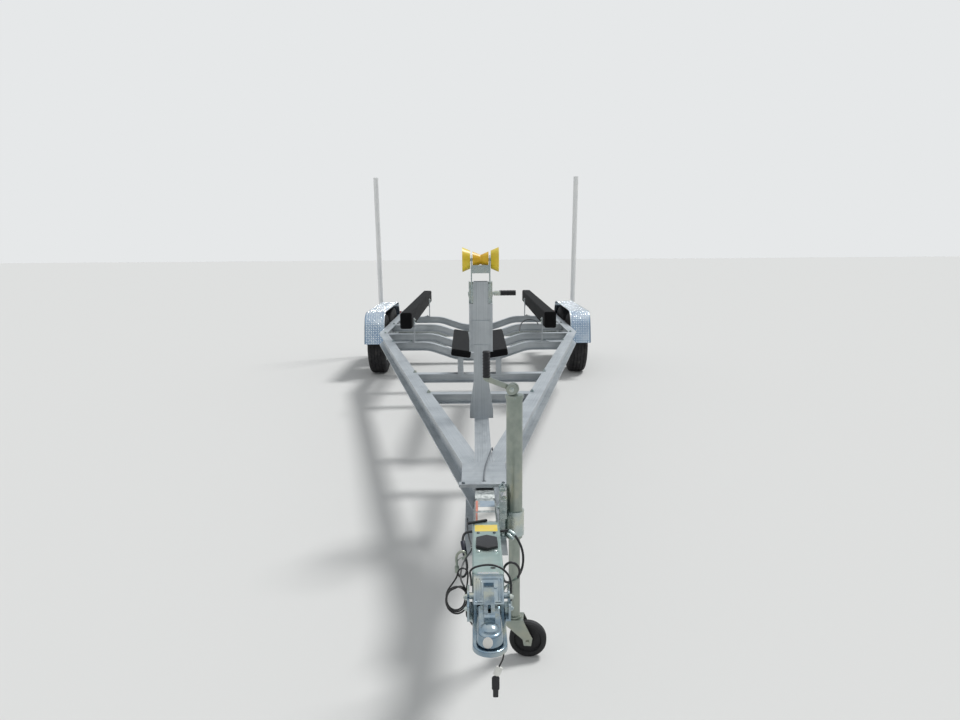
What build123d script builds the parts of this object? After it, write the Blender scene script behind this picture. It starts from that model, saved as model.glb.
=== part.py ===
from build123d import *
import math
import os

os.makedirs("parts", exist_ok=True)

# Tandem-axle aluminium boat trailer, millimetres.
# X is the trailer's right seen from the front, -Y the coupler's end, Z up, floor at Z = 0.
# The origin is on the floor, half way along and on the centre line.

# Frame
NOSE_Y = -4210          # front of the coupler
TAIL_Y = 4210           # rear ends of the rails
FRAME_TOP = 590
BEAM_H = 127
BEAM_FLANGE = 83
BEAM_FLANGE_T = 8
BEAM_WEB = 6
RAIL_OUT = 1016         # outer face of a rail from the centre line
KINK_Y = 1545           # where the tongue beams turn into parallel rails
PLATE_Y = -3230         # front edge of the tongue's top plate
BEAM_MEET_Y = -2930     # outer edges of the beams meet the plate's sides here
BEAM_MEET_X = 90
TUBE_W = 74             # tongue tube, square
TUBE_WALL = 5
TUBE_END_Y = -1493

# Cross members, two straight and four that dip in the middle, by y of the flange's front edge
CROSS_TOP = 581
CROSS_FLANGE = 76
STRAIGHT_H = 62
CURVED_H = 76
STRAIGHT_Y = [-1490, -800]
CURVED_Y = [860, 1500, 2340, 3230]
DIP = 100
DIP_OUT = 450
DIP_IN = 160

# Running gear
WHEEL_R = 344
WHEEL_W = 205
WHEEL_X = 1156
AXLE_Y = [2580, 3440]
RIM_W = 165
SPINDLE_R = 20
ARM_Y = 140             # torsion arm, from the axle tube back to the spindle
AXLE_Z = 362
AXLE_W = 76
ROTOR_R = 125
ROTOR_X = 1090
ROTOR_T = 12

# Fenders
FENDER_Z = 737
FENDER_IN = 1042
FENDER_OUT = 1270
FENDER_T = 3
FENDER_FOOT = [2130, 3890]
FENDER_SHOULDER = [2215, 3805]
FENDER_LOW = 390
FENDER_R = 170
FENDER_ROUND = 22       # outer top edge
BRACE_OUT = FENDER_OUT - 25
BRACE_W = 25
BRACE_Z = 520

# Winch stand: the post's faces step forward on the way down
STAND_Y = -2100
POST_HALF = 39
STEP_HALF = 45
SLEEVE_HALF = 61
POST_FRONT = -2130
STEP_FRONT = -2138
FOOT_FRONT = -2146
STAND_REAR = -2054      # rear of the sleeve and of the upper post, seat of the winch
FOOT_TOP = 978
STEP_TOP = 1103
POST_TOP = 1304
ROLLER_Y = -2110
ROLLER_Z = 1416
ROLLER_HALF = 93
ROLLER_WAIST_R = 24
ROLLER_END_R = 63
ROLLER_ARM_X = 47
PIN_R = 8
DRUM_Y = -1950
DRUM_Z = 1222
PINION_Y = -2012
PINION_Z = 1237
GEAR_R = 48
PINION_R = 12
CHEEK_X = 60
CRANK_X = 99
GRIP_Y = -1824
GRIP_Z = 1225

# Jack
JACK_X = 104
JACK_Y = -3390
JACK_R = 28.5
JACK_BORE = 22
LEG_R = 20.5
JACK_LOW = 458
JACK_TOP = 967
HUB_Z = 1001
HUB_R = 19
CASTER_R = 68
CASTER_W = 34
CASTER_TRAIL = 50
CASTER_YAW = 97         # degrees from straight behind, towards +X
FORK_Z = 146
FORK_T = 5
FORK_HALF = 28

# Actuator
CASE_HALF = 43
CASE_FRONT = -3540
SLIDE_HALF = 45.5
SLIDE_T = 4
SLIDE_TOP = 574
SLIDE_FRONT = -3925

# Coupler: one pressing over the ball, in front of an upright rear housing
SOCKET_R = 25.8
SOCKET_Y = -4150
SOCKET_Z = 517
DOME_R = 33
RIM_Z = 493             # lower edge of the rolled rim
RIM_HALF = 44.5
RIM_H = 14
BODY_HALF = 36
BODY_TOP = 540
BODY_REAR = -4036
HOUSING_FRONT = -4030
HOUSING_HALF = 41
HOUSING_TOP = 590
EAR_X = [53, 59]        # inner and outer face
LATCH_HALF = 14
LATCH_BACK = -3985

# Bunks
BUNK_X = 660
BUNK_W = 108
BUNK_H = 150
BUNK_Y = [710, 3810]
BUNK_Z = 727
KEEL_W = 140
KEEL_T = 50

# Guide posts
GUIDE_X = 1300
GUIDE_Y = 3960
GUIDE_R = 31.5
GUIDE_TOP = 2360
GUIDE_LEAN = 0.8


def block(x0, x1, y0, y1, z0, z1):
    """Box between two corners."""
    centre = ((x0 + x1) / 2, (y0 + y1) / 2, (z0 + z1) / 2)
    return Pos(*centre) * Box(abs(x1 - x0), abs(y1 - y0), abs(z1 - z0))


def rod_x(r, x0, x1, y, z):
    """Round bar along X."""
    return Pos((x0 + x1) / 2, y, z) * Rot(0, 90, 0) * Cylinder(r, abs(x1 - x0))


def rod_y(r, y0, y1, x, z):
    """Round bar along Y."""
    return Pos(x, (y0 + y1) / 2, z) * Rot(90, 0, 0) * Cylinder(r, abs(y1 - y0))


def rod_z(r, z0, z1, x, y):
    """Round bar along Z."""
    return Pos(x, y, (z0 + z1) / 2) * Cylinder(r, abs(z1 - z0))


def plan(points, z0, z1):
    """Prism on a plan outline."""
    face = Face(Wire.make_polygon([Vector(x, y, z0) for x, y in points]))
    return extrude(face, z1 - z0, dir=(0, 0, 1))


def side(points, x0, x1):
    """Prism along X on a side outline of (y, z) points."""
    face = Face(Wire.make_polygon([Vector(x0, y, z) for y, z in points]))
    return extrude(face, x1 - x0, dir=(1, 0, 0))


def front(points, y0, y1):
    """Prism along Y on a front outline of (x, z) points."""
    face = Face(Wire.make_polygon([Vector(x, y0, z) for x, z in points]))
    return extrude(face, y1 - y0, dir=(0, 1, 0))


def mirror_x(shape):
    """The same piece on the other side of the centre line."""
    return mirror(shape, about=Plane.YZ)


def turned(profile, x, y, z):
    """Solid of revolution about an axis along X; profile is (x, r) points."""
    face = Face(Wire.make_polygon([Vector(px, 0, pr) for px, pr in profile]))
    return Pos(x, y, z) * revolve(face, Axis.X, 360)


def solids(*shapes):
    """Separate solids of one node, kept apart."""
    found = []
    for shape in shapes:
        found.extend(shape.solids())
    return Compound(children=found)


def save(name, shape):
    export_step(shape, "parts/%s.step" % name)


# Lines of the main beams in plan, by their distance in from the outer edge

SLOPE = (RAIL_OUT - BEAM_MEET_X) / (KINK_Y - BEAM_MEET_Y)
V_ANGLE = math.atan(SLOPE)


def beam_x(y, inset):
    """X of the line that runs inset behind the right beam's outer edge."""
    tongue = BEAM_MEET_X + SLOPE * (y - BEAM_MEET_Y) - inset / math.cos(V_ANGLE)
    return min(tongue, RAIL_OUT - inset)


def beam_y(x, inset):
    """Y where the sloping part of that line reaches x."""
    return BEAM_MEET_Y + (x + inset / math.cos(V_ANGLE) - BEAM_MEET_X) / SLOPE


def beam_strip(outer, inner, z0, z1):
    """Level strip of the right beam between two insets, cut off beside the tongue tube."""
    edge = TUBE_W / 2 + 1
    bend_out = beam_y(RAIL_OUT - outer, outer)
    bend_in = beam_y(RAIL_OUT - inner, inner)
    points = [
        (edge, beam_y(edge, outer)),
        (RAIL_OUT - outer, bend_out),
        (RAIL_OUT - outer, TAIL_Y),
        (RAIL_OUT - inner, TAIL_Y),
        (RAIL_OUT - inner, bend_in),
        (edge, beam_y(edge, inner)),
    ]
    return plan(points, z0, z1)


def main_beam():
    """I-beam of the right side: sloping tongue part and straight rail in one."""
    low = FRAME_TOP - BEAM_H
    web_out = (BEAM_FLANGE - BEAM_WEB) / 2
    top = beam_strip(0, BEAM_FLANGE, FRAME_TOP - BEAM_FLANGE_T, FRAME_TOP)
    bottom = beam_strip(0, BEAM_FLANGE, low, low + BEAM_FLANGE_T)
    web = beam_strip(web_out, web_out + BEAM_WEB, low + BEAM_FLANGE_T, FRAME_TOP - BEAM_FLANGE_T)
    return top + web + bottom


def between_webs():
    """Prism that fills the plan between the two webs, to cut cross members to length."""
    inset = (BEAM_FLANGE + BEAM_WEB) / 2
    xa = beam_x(-2200, inset)
    bend = beam_y(RAIL_OUT - inset, inset)
    right = [(xa, -2200), (RAIL_OUT - inset, bend), (RAIL_OUT - inset, TAIL_Y)]
    left = [(-x, y) for x, y in reversed(right)]
    return plan(right + left, 300, 700)


def i_section(height, plane):
    """I-shaped sketch, its top flange on the plane's origin."""
    flange_t = 6
    web_t = 5
    top = plane * Pos(0, -flange_t / 2) * Rectangle(CROSS_FLANGE, flange_t)
    web = plane * Pos(0, -height / 2) * Rectangle(web_t, height - 2 * flange_t)
    bottom = plane * Pos(0, flange_t / 2 - height) * Rectangle(CROSS_FLANGE, flange_t)
    return [top, web, bottom]


def straight_member(y):
    yc = y + CROSS_FLANGE / 2
    low = CROSS_TOP - STRAIGHT_H
    bar = block(-900, 900, y, y + CROSS_FLANGE, CROSS_TOP - 6, CROSS_TOP)
    bar += block(-900, 900, y, y + CROSS_FLANGE, low, low + 6)
    bar += block(-900, 900, yc - 2.5, yc + 2.5, low + 6, CROSS_TOP - 6)
    return bar & between_webs()


def curved_member(y):
    """I-beam bent down in the middle, its line made of straights and tangent arcs."""
    yc = y + CROSS_FLANGE / 2
    line = [
        (-1000, yc, CROSS_TOP),
        (-DIP_OUT, yc, CROSS_TOP),
        (-DIP_IN, yc, CROSS_TOP - DIP),
        (DIP_IN, yc, CROSS_TOP - DIP),
        (DIP_OUT, yc, CROSS_TOP),
        (1000, yc, CROSS_TOP),
    ]
    path = FilletPolyline(*line, radius=420)
    start = Plane(origin=line[0], x_dir=(0, 1, 0), z_dir=(1, 0, 0))
    bar = None
    for piece in i_section(CURVED_H, start):
        swept = sweep(piece, path=path)
        bar = swept if bar is None else bar + swept
    return bar & between_webs()


def line_hole():
    """Hole where the brake line goes down through the top plate and the tube's wall."""
    x, y, z = BRAKE_LINE[-1]
    return rod_z(7, FRAME_TOP - TUBE_WALL - 1, FRAME_TOP + 10, x, y + 3)


def tongue_plates():
    """Top and bottom plates that tie the beams to the tongue tube, with a flat bar on the front edge."""
    top = block(-88, 88, PLATE_Y, -2936, FRAME_TOP, FRAME_TOP + 6)
    top -= line_hole()
    bar = block(-97, 97, PLATE_Y - 6, PLATE_Y + 26, FRAME_TOP, FRAME_TOP + 12)
    low = FRAME_TOP - BEAM_H
    bottom = block(-74, 74, CASE_FRONT, -2800, low - 8, low)
    bottom += block(-72, -60, -3262, -3242, low, low + 20)
    return solids(top + bar, bottom)


def tongue_tube():
    """Square tube from the plates back to the first cross member, held by two angles."""
    half = TUBE_W / 2
    top = FRAME_TOP
    tube = block(-half, half, PLATE_Y, TUBE_END_Y, top - TUBE_W, top)
    inside = half - TUBE_WALL
    hollow = block(-inside, inside, PLATE_Y - 1, TUBE_END_Y + 1, top - TUBE_W + TUBE_WALL, top - TUBE_WALL)
    return tube - hollow - line_hole()


def wheel_rim():
    """Steel rim, hub, brake rotor and cap of a right wheel, centred on its own origin."""
    half = RIM_W / 2
    barrel = turned(
        [
            (-half, 203), (-half, 186), (-half + 14, 186), (-half + 30, 176), (half - 30, 176),
            (half - 14, 186), (half, 186), (half, 203), (half - 5, 203), (half - 5, 190.5),
            (half - 16, 190.5), (half - 32, 180.5), (-half + 32, 180.5), (-half + 16, 190.5),
            (-half + 5, 190.5), (-half + 5, 203),
        ],
        0, 0, 0,
    )
    disc = turned(
        [(-6, 30), (0, 30), (0, 75), (18, 100), (18, 150), (8, 176.5), (0, 176.5), (10, 148), (10, 102), (-6, 76)],
        0, 0, 0,
    )
    for step in range(8):
        angle = math.radians(45 * step + 22.5)
        disc -= rod_x(17, -20, 40, 128 * math.cos(angle), 128 * math.sin(angle))
    hub = turned(
        [
            (-75, SPINDLE_R + 0.1), (30, SPINDLE_R + 0.1), (30, 0), (68, 0), (68, 22), (60, 27),
            (18, 30), (0, 30), (-6, 30), (-6, 72), (-18, 72), (-18, 40), (-75, 34),
        ],
        0, 0, 0,
    )
    rotor_x = ROTOR_X - WHEEL_X
    rotor = turned(
        [
            (rotor_x, 66), (rotor_x, ROTOR_R), (rotor_x + ROTOR_T, ROTOR_R), (rotor_x + ROTOR_T, 72),
            (-18, 72), (-18, 66),
        ],
        0, 0, 0,
    )
    return barrel + disc + hub + rotor


def tyre():
    """Plain tyre of a right wheel, centred on its own origin."""
    half = WHEEL_W / 2
    outline = [
        (-77, 191), (77, 191), (77, 206), (88, 212), (half, 262), (half - 4, 300), (90, 330),
        (72, 340), (0, WHEEL_R), (-72, 340), (-90, 330), (-half + 4, 300), (-half, 262),
        (-88, 212), (-77, 206),
    ]
    return turned(outline, 0, 0, 0)


def arm_side(y):
    """Torsion arm, brake bracket, caliper and spindle of the right side."""
    yt = y - ARM_Y
    slope = math.atan2(AXLE_Z - WHEEL_R, ARM_Y)
    across = Vector(0, math.sin(slope), math.cos(slope))
    a = Vector(0, yt, AXLE_Z)
    b = Vector(0, y, WHEEL_R)
    ring = [a + across * 30, b + across * 26, b - across * 26, a - across * 30]
    arm = side([(p.Y, p.Z) for p in ring], 1004, 1030)
    arm += rod_x(30, 1004, 1030, yt, AXLE_Z)
    arm += rod_x(26, 1004, 1030, y, WHEEL_R)
    arm += rod_x(22, 980, 1004, yt, AXLE_Z)
    arm += rod_x(SPINDLE_R, 1030, 1180, y, WHEEL_R)
    plate = side([(y - 20, WHEEL_R - 26), (y - 20, WHEEL_R + 26), (y - 150, 410), (y - 150, 330)], 1030, 1040)
    arm += plate
    caliper = block(1040, 1084, y - 158, y - 85, 332, 408)
    caliper += block(1040, 1125, y - 158, y - 134, 332, 408)
    caliper += block(1108, 1125, y - 158, y - 85, 332, 408)
    return arm, caliper


def axle(y):
    """Torsion axle: square tube under the rails, hanger plates, arms, spindles, calipers."""
    yt = y - ARM_Y
    half = AXLE_W / 2
    tube = block(-980, 980, yt - half, yt + half, AXLE_Z - half, AXLE_Z + half)
    tube -= block(-990, 990, yt - half + 6, yt + half - 6, AXLE_Z - half + 6, AXLE_Z + half - 6)
    low = FRAME_TOP - BEAM_H
    for sign in (-1, 1):
        x0 = sign * (RAIL_OUT - BEAM_FLANGE)
        x1 = sign * RAIL_OUT
        seat = block(x0, x1, yt - 90, yt + 90, low - 8, low)
        seat += block(x0, x1, yt - 50, yt - half, AXLE_Z - 20, low - 8)
        seat += block(x0, x1, yt + half, yt + 50, AXLE_Z - 20, low - 8)
        seat += block(x0, x1, yt - half, yt + half, AXLE_Z + half, low - 8)
        tube += seat
        plug = block(sign * 974, sign * 980, yt - half + 6, yt + half - 6, AXLE_Z - half + 6, AXLE_Z + half - 6)
        tube += plug
    right_arm, right_caliper = arm_side(y)
    return tube + right_arm + mirror_x(right_arm) + right_caliper + mirror_x(right_caliper)


def fender_line(offset):
    """Side line of a fender, offset inwards, as points for a filleted polyline."""
    f0, f1 = FENDER_FOOT
    s0, s1 = FENDER_SHOULDER
    return [
        (f0 + offset, FENDER_LOW),
        (s0 + offset, FENDER_Z - offset),
        (s1 - offset, FENDER_Z - offset),
        (f1 - offset, FENDER_LOW),
    ]


def fender():
    """Tandem fender of the right side: arched shell with a rounded outer edge, skirt cut out over the tyres."""
    def arch(offset, x0, x1):
        points = [(x0, y, z) for y, z in fender_line(offset)]
        top = FilletPolyline(*points, radius=FENDER_R - offset)
        floor = Line(points[-1], points[0])
        shape = extrude(Face(Wire([*top.edges(), floor])), x1 - x0, dir=(1, 0, 0))
        rim = shape.faces().sort_by(Axis.X)[-1].edges()
        lowest = rim.sort_by(Axis.Z)[0]
        return fillet([edge for edge in rim if edge != lowest], FENDER_ROUND - offset)
    shell = arch(0, FENDER_IN, FENDER_OUT) - arch(FENDER_T, FENDER_IN - 1, FENDER_OUT - FENDER_T)
    for y in AXLE_Y:
        shell -= rod_x(WHEEL_R + 30, FENDER_OUT - 20, FENDER_OUT + 20, y, WHEEL_R)
    open_y = [FENDER_SHOULDER[0] + 40, FENDER_SHOULDER[1] - 40]
    shell -= block(FENDER_OUT - 20, FENDER_OUT + 20, *open_y, 300, 470)
    return shell


def fender_braces():
    """Square bars from the rails' webs out to the fenders, one ahead, one between the tyres, one behind."""
    x0 = RAIL_OUT - (BEAM_FLANGE - BEAM_WEB) / 2
    z0, z1 = BRACE_Z, BRACE_Z + BRACE_W
    lean = (FENDER_SHOULDER[0] - FENDER_FOOT[0]) / (FENDER_Z - FENDER_T - FENDER_LOW)
    y0 = FENDER_FOOT[0] + FENDER_T + lean * (z0 - FENDER_LOW)
    y1 = FENDER_FOOT[0] + FENDER_T + lean * (z1 - FENDER_LOW)
    ahead = side([(y0, z0), (y1, z1), (y1 + BRACE_W, z1), (y0 + BRACE_W, z0)], x0, BRACE_OUT)
    middle = sum(FENDER_FOOT) / 2
    behind = mirror(ahead, about=Plane.XZ.offset(-middle))
    mid_y = [middle - BRACE_W / 2, middle + BRACE_W / 2]
    between = block(x0, BRACE_OUT, *mid_y, z0, z1)
    between += block(BRACE_OUT - BRACE_W, BRACE_OUT, *mid_y, z1, FENDER_Z - FENDER_T)
    bars = []
    for bar in (ahead, between, behind):
        bars += [bar, mirror_x(bar)]
    return solids(*bars)


def bunk():
    """Carpeted bunk board of the right side."""
    y0, y1 = BUNK_Y
    body = block(BUNK_X - BUNK_W / 2, BUNK_X + BUNK_W / 2, y0, y1, BUNK_Z, BUNK_Z + BUNK_H)
    return fillet(body.edges().filter_by(Axis.Y), 18)


def bunk_brackets():
    """Upright plates with saddles that hold the bunks on the cross members."""
    pieces = []
    for y in (CURVED_Y[0], CURVED_Y[3]):
        x0 = BUNK_X - BUNK_W / 2
        upright = block(x0 - 8, x0, y + 4, y + 72, CROSS_TOP, BUNK_Z + 80)
        saddle = block(x0, x0 + 96, y + 4, y + 72, BUNK_Z - 8, BUNK_Z)
        foot = block(x0, x0 + 60, y + 4, y + 72, CROSS_TOP, CROSS_TOP + 8)
        bracket = upright + saddle + foot
        pieces.append(bracket)
        pieces.append(mirror_x(bracket))
    return solids(*pieces)


KEEL_FRONT = (130, -840, 735)
KEEL_REAR = (165, 1010, 655)
KEEL_TILT = 9


def keel_frame():
    """Local frame of the right front bunk: its length along local Z, rearwards."""
    a = Vector(*KEEL_FRONT)
    b = Vector(*KEEL_REAR)
    along = (b - a).normalized()
    level = Vector(0, 0, 1).cross(along).normalized() * -1
    tilt = math.radians(KEEL_TILT)
    up = level.cross(along).normalized() * -1
    if up.Z < 0:
        up = up * -1
    x_dir = level * math.cos(tilt) + up * math.sin(tilt)
    return Plane(origin=a, x_dir=x_dir, z_dir=along), (b - a).length


def keel_bunk():
    """Short carpeted bunk beside the centre line, sloping down to the rear."""
    plane, length = keel_frame()
    shape = plane * RectangleRounded(KEEL_W, KEEL_T, 14)
    return extrude(shape, length)


def keel_posts():
    """Uprights that carry the front bunks on cross members 2 and 3."""
    pieces = []
    # x, y of the post's front face, foot z, top z
    for x, y, z0, z1 in ((135, -796, CROSS_TOP, 700), (160, 864, CROSS_TOP - DIP, 630)):
        post = block(x - 20, x + 20, y, y + 6, z0, z1 + 8)
        post += block(x - 20, x + 20, y, y + 50, z0, z0 + 6)
        post += block(x + 14, x + 20, y, y + 50, z0, z1 - 8)
        pieces.append(post)
    cut, length = keel_frame()
    trim = extrude(cut * Rectangle(400, KEEL_T), length + 300)
    trimmed = []
    member = curved_member(CURVED_Y[0])
    for post in pieces:
        post = post - trim - member
        low = sorted(post.solids(), key=lambda s: -s.volume)[0]
        trimmed.append(low)
        trimmed.append(mirror_x(low))
    return solids(*trimmed)


def winch_pedestal():
    """Flared foot of the winch stand, welded on the tongue tube."""
    # half width and height of each corner, from the foot up
    corners = [(SLEEVE_HALF, FRAME_TOP), (SLEEVE_HALF, 632), (POST_HALF, 780), (POST_HALF, FOOT_TOP)]
    outline = corners + [(-x, z) for x, z in reversed(corners)]
    return front(outline, FOOT_FRONT, STAND_Y + 38)


def winch_post():
    """Sleeve, step and open-ended upper post, each face prouder than the one above."""
    sleeve = block(-SLEEVE_HALF, SLEEVE_HALF, STAND_Y - 22, STAND_REAR, 940, 1190)
    sleeve -= block(-POST_HALF, POST_HALF, FOOT_FRONT, STAND_Y + 38, 930, FOOT_TOP)
    step = block(-STEP_HALF, STEP_HALF, STEP_FRONT, STAND_Y - 22, FOOT_TOP, STEP_TOP)
    post = block(-POST_HALF, POST_HALF, POST_FRONT, STAND_REAR, STEP_TOP, POST_TOP)
    wall = 5
    hollow = block(-POST_HALF + wall, POST_HALF - wall, POST_FRONT + wall, STAND_REAR - wall, 1195, POST_TOP + 1)
    return sleeve + step + post - hollow


def roller_bracket():
    """Two wide arms from the post's sides up past the bow roller's pin, tied by a front plate."""
    y0, y1 = ROLLER_Y - 45, ROLLER_Y + 25
    inner = ROLLER_ARM_X - 3
    bracket = block(-inner, inner, y0, y0 + 4, 1348, 1389)
    bracket += rod_x(PIN_R, -ROLLER_HALF + 1, ROLLER_HALF - 1, ROLLER_Y, ROLLER_Z)
    outline = [(y0, 1195), (y1, 1195), (y1, ROLLER_Z + 10), (y1 - 12, ROLLER_Z + 22), (y0 + 12, ROLLER_Z + 22),
               (y0, ROLLER_Z + 10)]
    for sign in (-1, 1):
        bracket += side(outline, sign * ROLLER_ARM_X - 3, sign * ROLLER_ARM_X + 3)
        bracket += block(sign * POST_HALF, sign * inner, ROLLER_Y - 20, y1, 1195, 1290)
        bracket += rod_x(13, sign * (ROLLER_HALF - 4) - 2.75, sign * (ROLLER_HALF - 4) + 2.75, ROLLER_Y, ROLLER_Z)
    return bracket


def roller_r(x):
    return ROLLER_WAIST_R + (ROLLER_END_R - ROLLER_WAIST_R) * abs(x) / ROLLER_HALF


def bow_roller():
    """V-shaped roller between the arms and an end bell outside each, the pin's heads sunk in the bells."""
    bore = PIN_R + 0.08
    a = ROLLER_ARM_X - 6
    b = ROLLER_ARM_X + 6
    end = ROLLER_HALF
    vee = turned([(-a, bore), (a, bore), (a, roller_r(a)), (0, roller_r(0)), (-a, roller_r(a))], 0, ROLLER_Y, ROLLER_Z)
    bell = turned(
        [(b, bore), (end - 7, bore), (end - 7, 15), (end, 15), (end, roller_r(end)), (b, roller_r(b))],
        0, ROLLER_Y, ROLLER_Z,
    )
    return solids(vee, bell, mirror_x(bell))


def winch_frame():
    """Pressed U-frame of the winch, its base on the back of the sleeve and the post."""
    y0 = STAND_REAR
    low, top = 1180, 1300
    frame = block(-CHEEK_X, CHEEK_X, y0, y0 + 4, low, top)
    outline = [(y0, low), (y0 + 96, low), (y0 + 128, 1205), (y0 + 128, 1252), (y0 + 70, top), (y0, top)]
    for sign in (-1, 1):
        frame += side(outline, sign * CHEEK_X - 2, sign * CHEEK_X + 2)
    # y and z of the mounting holes in the cheeks
    for y, z in ((y0 + 18, top - 14), (y0 + 18, low + 14), (y0 + 52, top - 14), (y0 + 90, 1268)):
        frame -= rod_x(4.5, -80, 80, y, z)
    frame -= rod_x(PIN_R + 0.06, -80, 80, DRUM_Y, DRUM_Z)
    frame -= rod_x(PIN_R + 0.06, -80, 80, PINION_Y, PINION_Z)
    return frame


def winch_drum():
    """Drum with its wound strap, gear and axle."""
    drum = rod_x(PIN_R, -66, 66, DRUM_Y, DRUM_Z)
    drum += rod_x(40, -40, 40, DRUM_Y, DRUM_Z)
    drum += rod_x(GEAR_R, -44, -40, DRUM_Y, DRUM_Z)
    drum += rod_x(GEAR_R, 40, 46, DRUM_Y, DRUM_Z)
    return drum


def winch_crank():
    """Pinion shaft, sloping crank arm and grip."""
    crank = rod_x(PIN_R, -66, CRANK_X, PINION_Y, PINION_Z)
    crank += rod_x(PINION_R, 40, 46, PINION_Y, PINION_Z)
    crank += rod_x(13, 70, CRANK_X, PINION_Y, PINION_Z)
    outline = [
        (PINION_Y - 14, PINION_Z - 12), (GRIP_Y + 12, GRIP_Z - 12),
        (GRIP_Y + 12, GRIP_Z + 12), (PINION_Y - 14, PINION_Z + 12),
    ]
    crank += side(outline, CRANK_X, CRANK_X + 6)
    crank += rod_x(5, CRANK_X + 6, CRANK_X + 100, GRIP_Y, GRIP_Z)
    crank += rod_x(13, CRANK_X + 8, CRANK_X + 98, GRIP_Y, GRIP_Z)
    return crank


def jack_mount():
    """Folded bracket on the bottom tongue plate, with a collar round the jack."""
    low = FRAME_TOP - BEAM_H
    tube = JACK_X - JACK_R
    mount = rod_z(JACK_R + 6, 470, 560, JACK_X, JACK_Y)
    mount += block(44, tube, JACK_Y - 30, JACK_Y + 30, low, low + 8)
    mount += block(50, 54, JACK_Y - 34, JACK_Y + 30, low, 640)
    mount += block(50, 72, JACK_Y - 30, JACK_Y + 30, 636, 640)
    mount += block(54, tube, JACK_Y - 34, JACK_Y - 30, 538, 601)
    mount += block(54, JACK_X, JACK_Y - 6, JACK_Y + 6, low, 555)
    mount -= rod_z(JACK_R + 0.05, 400, 700, JACK_X, JACK_Y)
    return mount


def jack_tube():
    """Outer tube of the jack with its cap."""
    tube = rod_z(JACK_R, JACK_LOW, JACK_TOP, JACK_X, JACK_Y)
    tube -= rod_z(JACK_BORE, JACK_LOW - 1, JACK_TOP - 8, JACK_X, JACK_Y)
    tube += rod_z(JACK_R + 3, JACK_TOP, JACK_TOP + 12, JACK_X, JACK_Y)
    tube += rod_z(13, JACK_TOP + 12, HUB_Z - HUB_R, JACK_X, JACK_Y)
    return tube


def jack_crank():
    """Crank hub of two discs on top, arm towards the centre line and upright grip."""
    hub = rod_y(HUB_R, JACK_Y - 24, JACK_Y - 6, JACK_X - 11, HUB_Z)
    hub += rod_y(HUB_R, JACK_Y - 6, JACK_Y + 14, JACK_X - 3, HUB_Z)
    ring = [
        (JACK_X - 10, HUB_Z - 9), (JACK_X - 14, HUB_Z + 11),
        (JACK_X - 92, HUB_Z + 44), (JACK_X - 104, HUB_Z + 29),
    ]
    arm = front(ring, JACK_Y - 6, JACK_Y + 4)
    grip = rod_z(11, HUB_Z + 32, HUB_Z + 131, JACK_X - 97, JACK_Y)
    return hub + arm + grip


def caster_place(shape):
    """Put a piece built with its trail along +Y at the jack's foot, turned by the yaw."""
    return Pos(JACK_X, JACK_Y, 0) * Rot(0, 0, -CASTER_YAW) * shape


def jack_leg():
    """Inner tube of the jack, with the foot plate that the fork turns under and the pivot's riveted end."""
    top = FORK_Z + FORK_T
    leg = rod_z(LEG_R, top + 7, 660, JACK_X, JACK_Y)
    leg += rod_z(27, top + 1, top + 7, JACK_X, JACK_Y)
    leg += rod_z(9, FORK_Z - 6, top + 1, JACK_X, JACK_Y)
    leg += rod_z(14, FORK_Z - 6, FORK_Z - 1, JACK_X, JACK_Y)
    return leg


def jack_fork():
    """Fork of the caster: top plate, two cheeks and the wheel's bolt."""
    t = CASTER_TRAIL
    top = FORK_Z + FORK_T
    fork = block(-FORK_HALF, FORK_HALF, -FORK_HALF, 34, FORK_Z, top)
    outline = [(-28, top), (34, top), (t + 18, 82), (t + 13, 54), (t - 13, 54), (t - 18, 78), (-28, top - 22)]
    for sign in (-1, 1):
        fork += side(outline, sign * FORK_HALF - 2.5, sign * FORK_HALF + 2.5)
    fork -= rod_z(9.1, FORK_Z - 10, top + 10, 0, 0)
    fork += rod_x(6, -36, 36, t, CASTER_R)
    return caster_place(fork)


def jack_wheel():
    """Caster wheel with its tread, web and hub."""
    half = CASTER_W / 2
    right = [
        (half, 6.08), (half, 18), (7, 21), (7, 46), (half - 2, 50), (half - 2, CASTER_R - 6), (half - 8, CASTER_R),
    ]
    profile = right + [(-x, r) for x, r in reversed(right)]
    return caster_place(turned(profile, 0, CASTER_TRAIL, CASTER_R))


def actuator_case():
    """Zinc outer case of the surge actuator: flanged foot, raised top and a hood at the rear."""
    low = FRAME_TOP - BEAM_H
    rear = PLATE_Y - 6.5
    case = block(-CASE_HALF, CASE_HALF, CASE_FRONT, rear, low, 540)
    # half width and y of the raised top's corners
    corners = [(37, -3536), (38, -3510), (38, -3330), (30, -3300)]
    outline = corners + [(-x, y) for x, y in reversed(corners)]
    top = plan(outline, 540, 572)
    case += chamfer(top.faces().sort_by(Axis.Z)[-1].edges(), 4)
    hood = side([(-3300, 540), (-3300, 570), (-3284, 579), (rear, 581), (rear, 540)], -36, 36)
    case += hood
    return case


def actuator_slide():
    """Front channel of the actuator: folded sheet with rounded corners, closed by the reservoir's box."""
    inner = SLIDE_HALF - SLIDE_T
    outer = block(-SLIDE_HALF, SLIDE_HALF, SLIDE_FRONT, CASE_FRONT, 470, SLIDE_TOP)
    outer = fillet(outer.edges().filter_by(Axis.Y).group_by(Axis.Z)[-1], 7)
    slide = outer - block(-inner, inner, SLIDE_FRONT - 1, CASE_FRONT + 1, 469, SLIDE_TOP - 6)
    slide += block(-inner, inner, -3780, -3600, 490, SLIDE_TOP - 6)
    slide += block(-36, 36, -3600, CASE_FRONT, 480, 560)
    return slide


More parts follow.
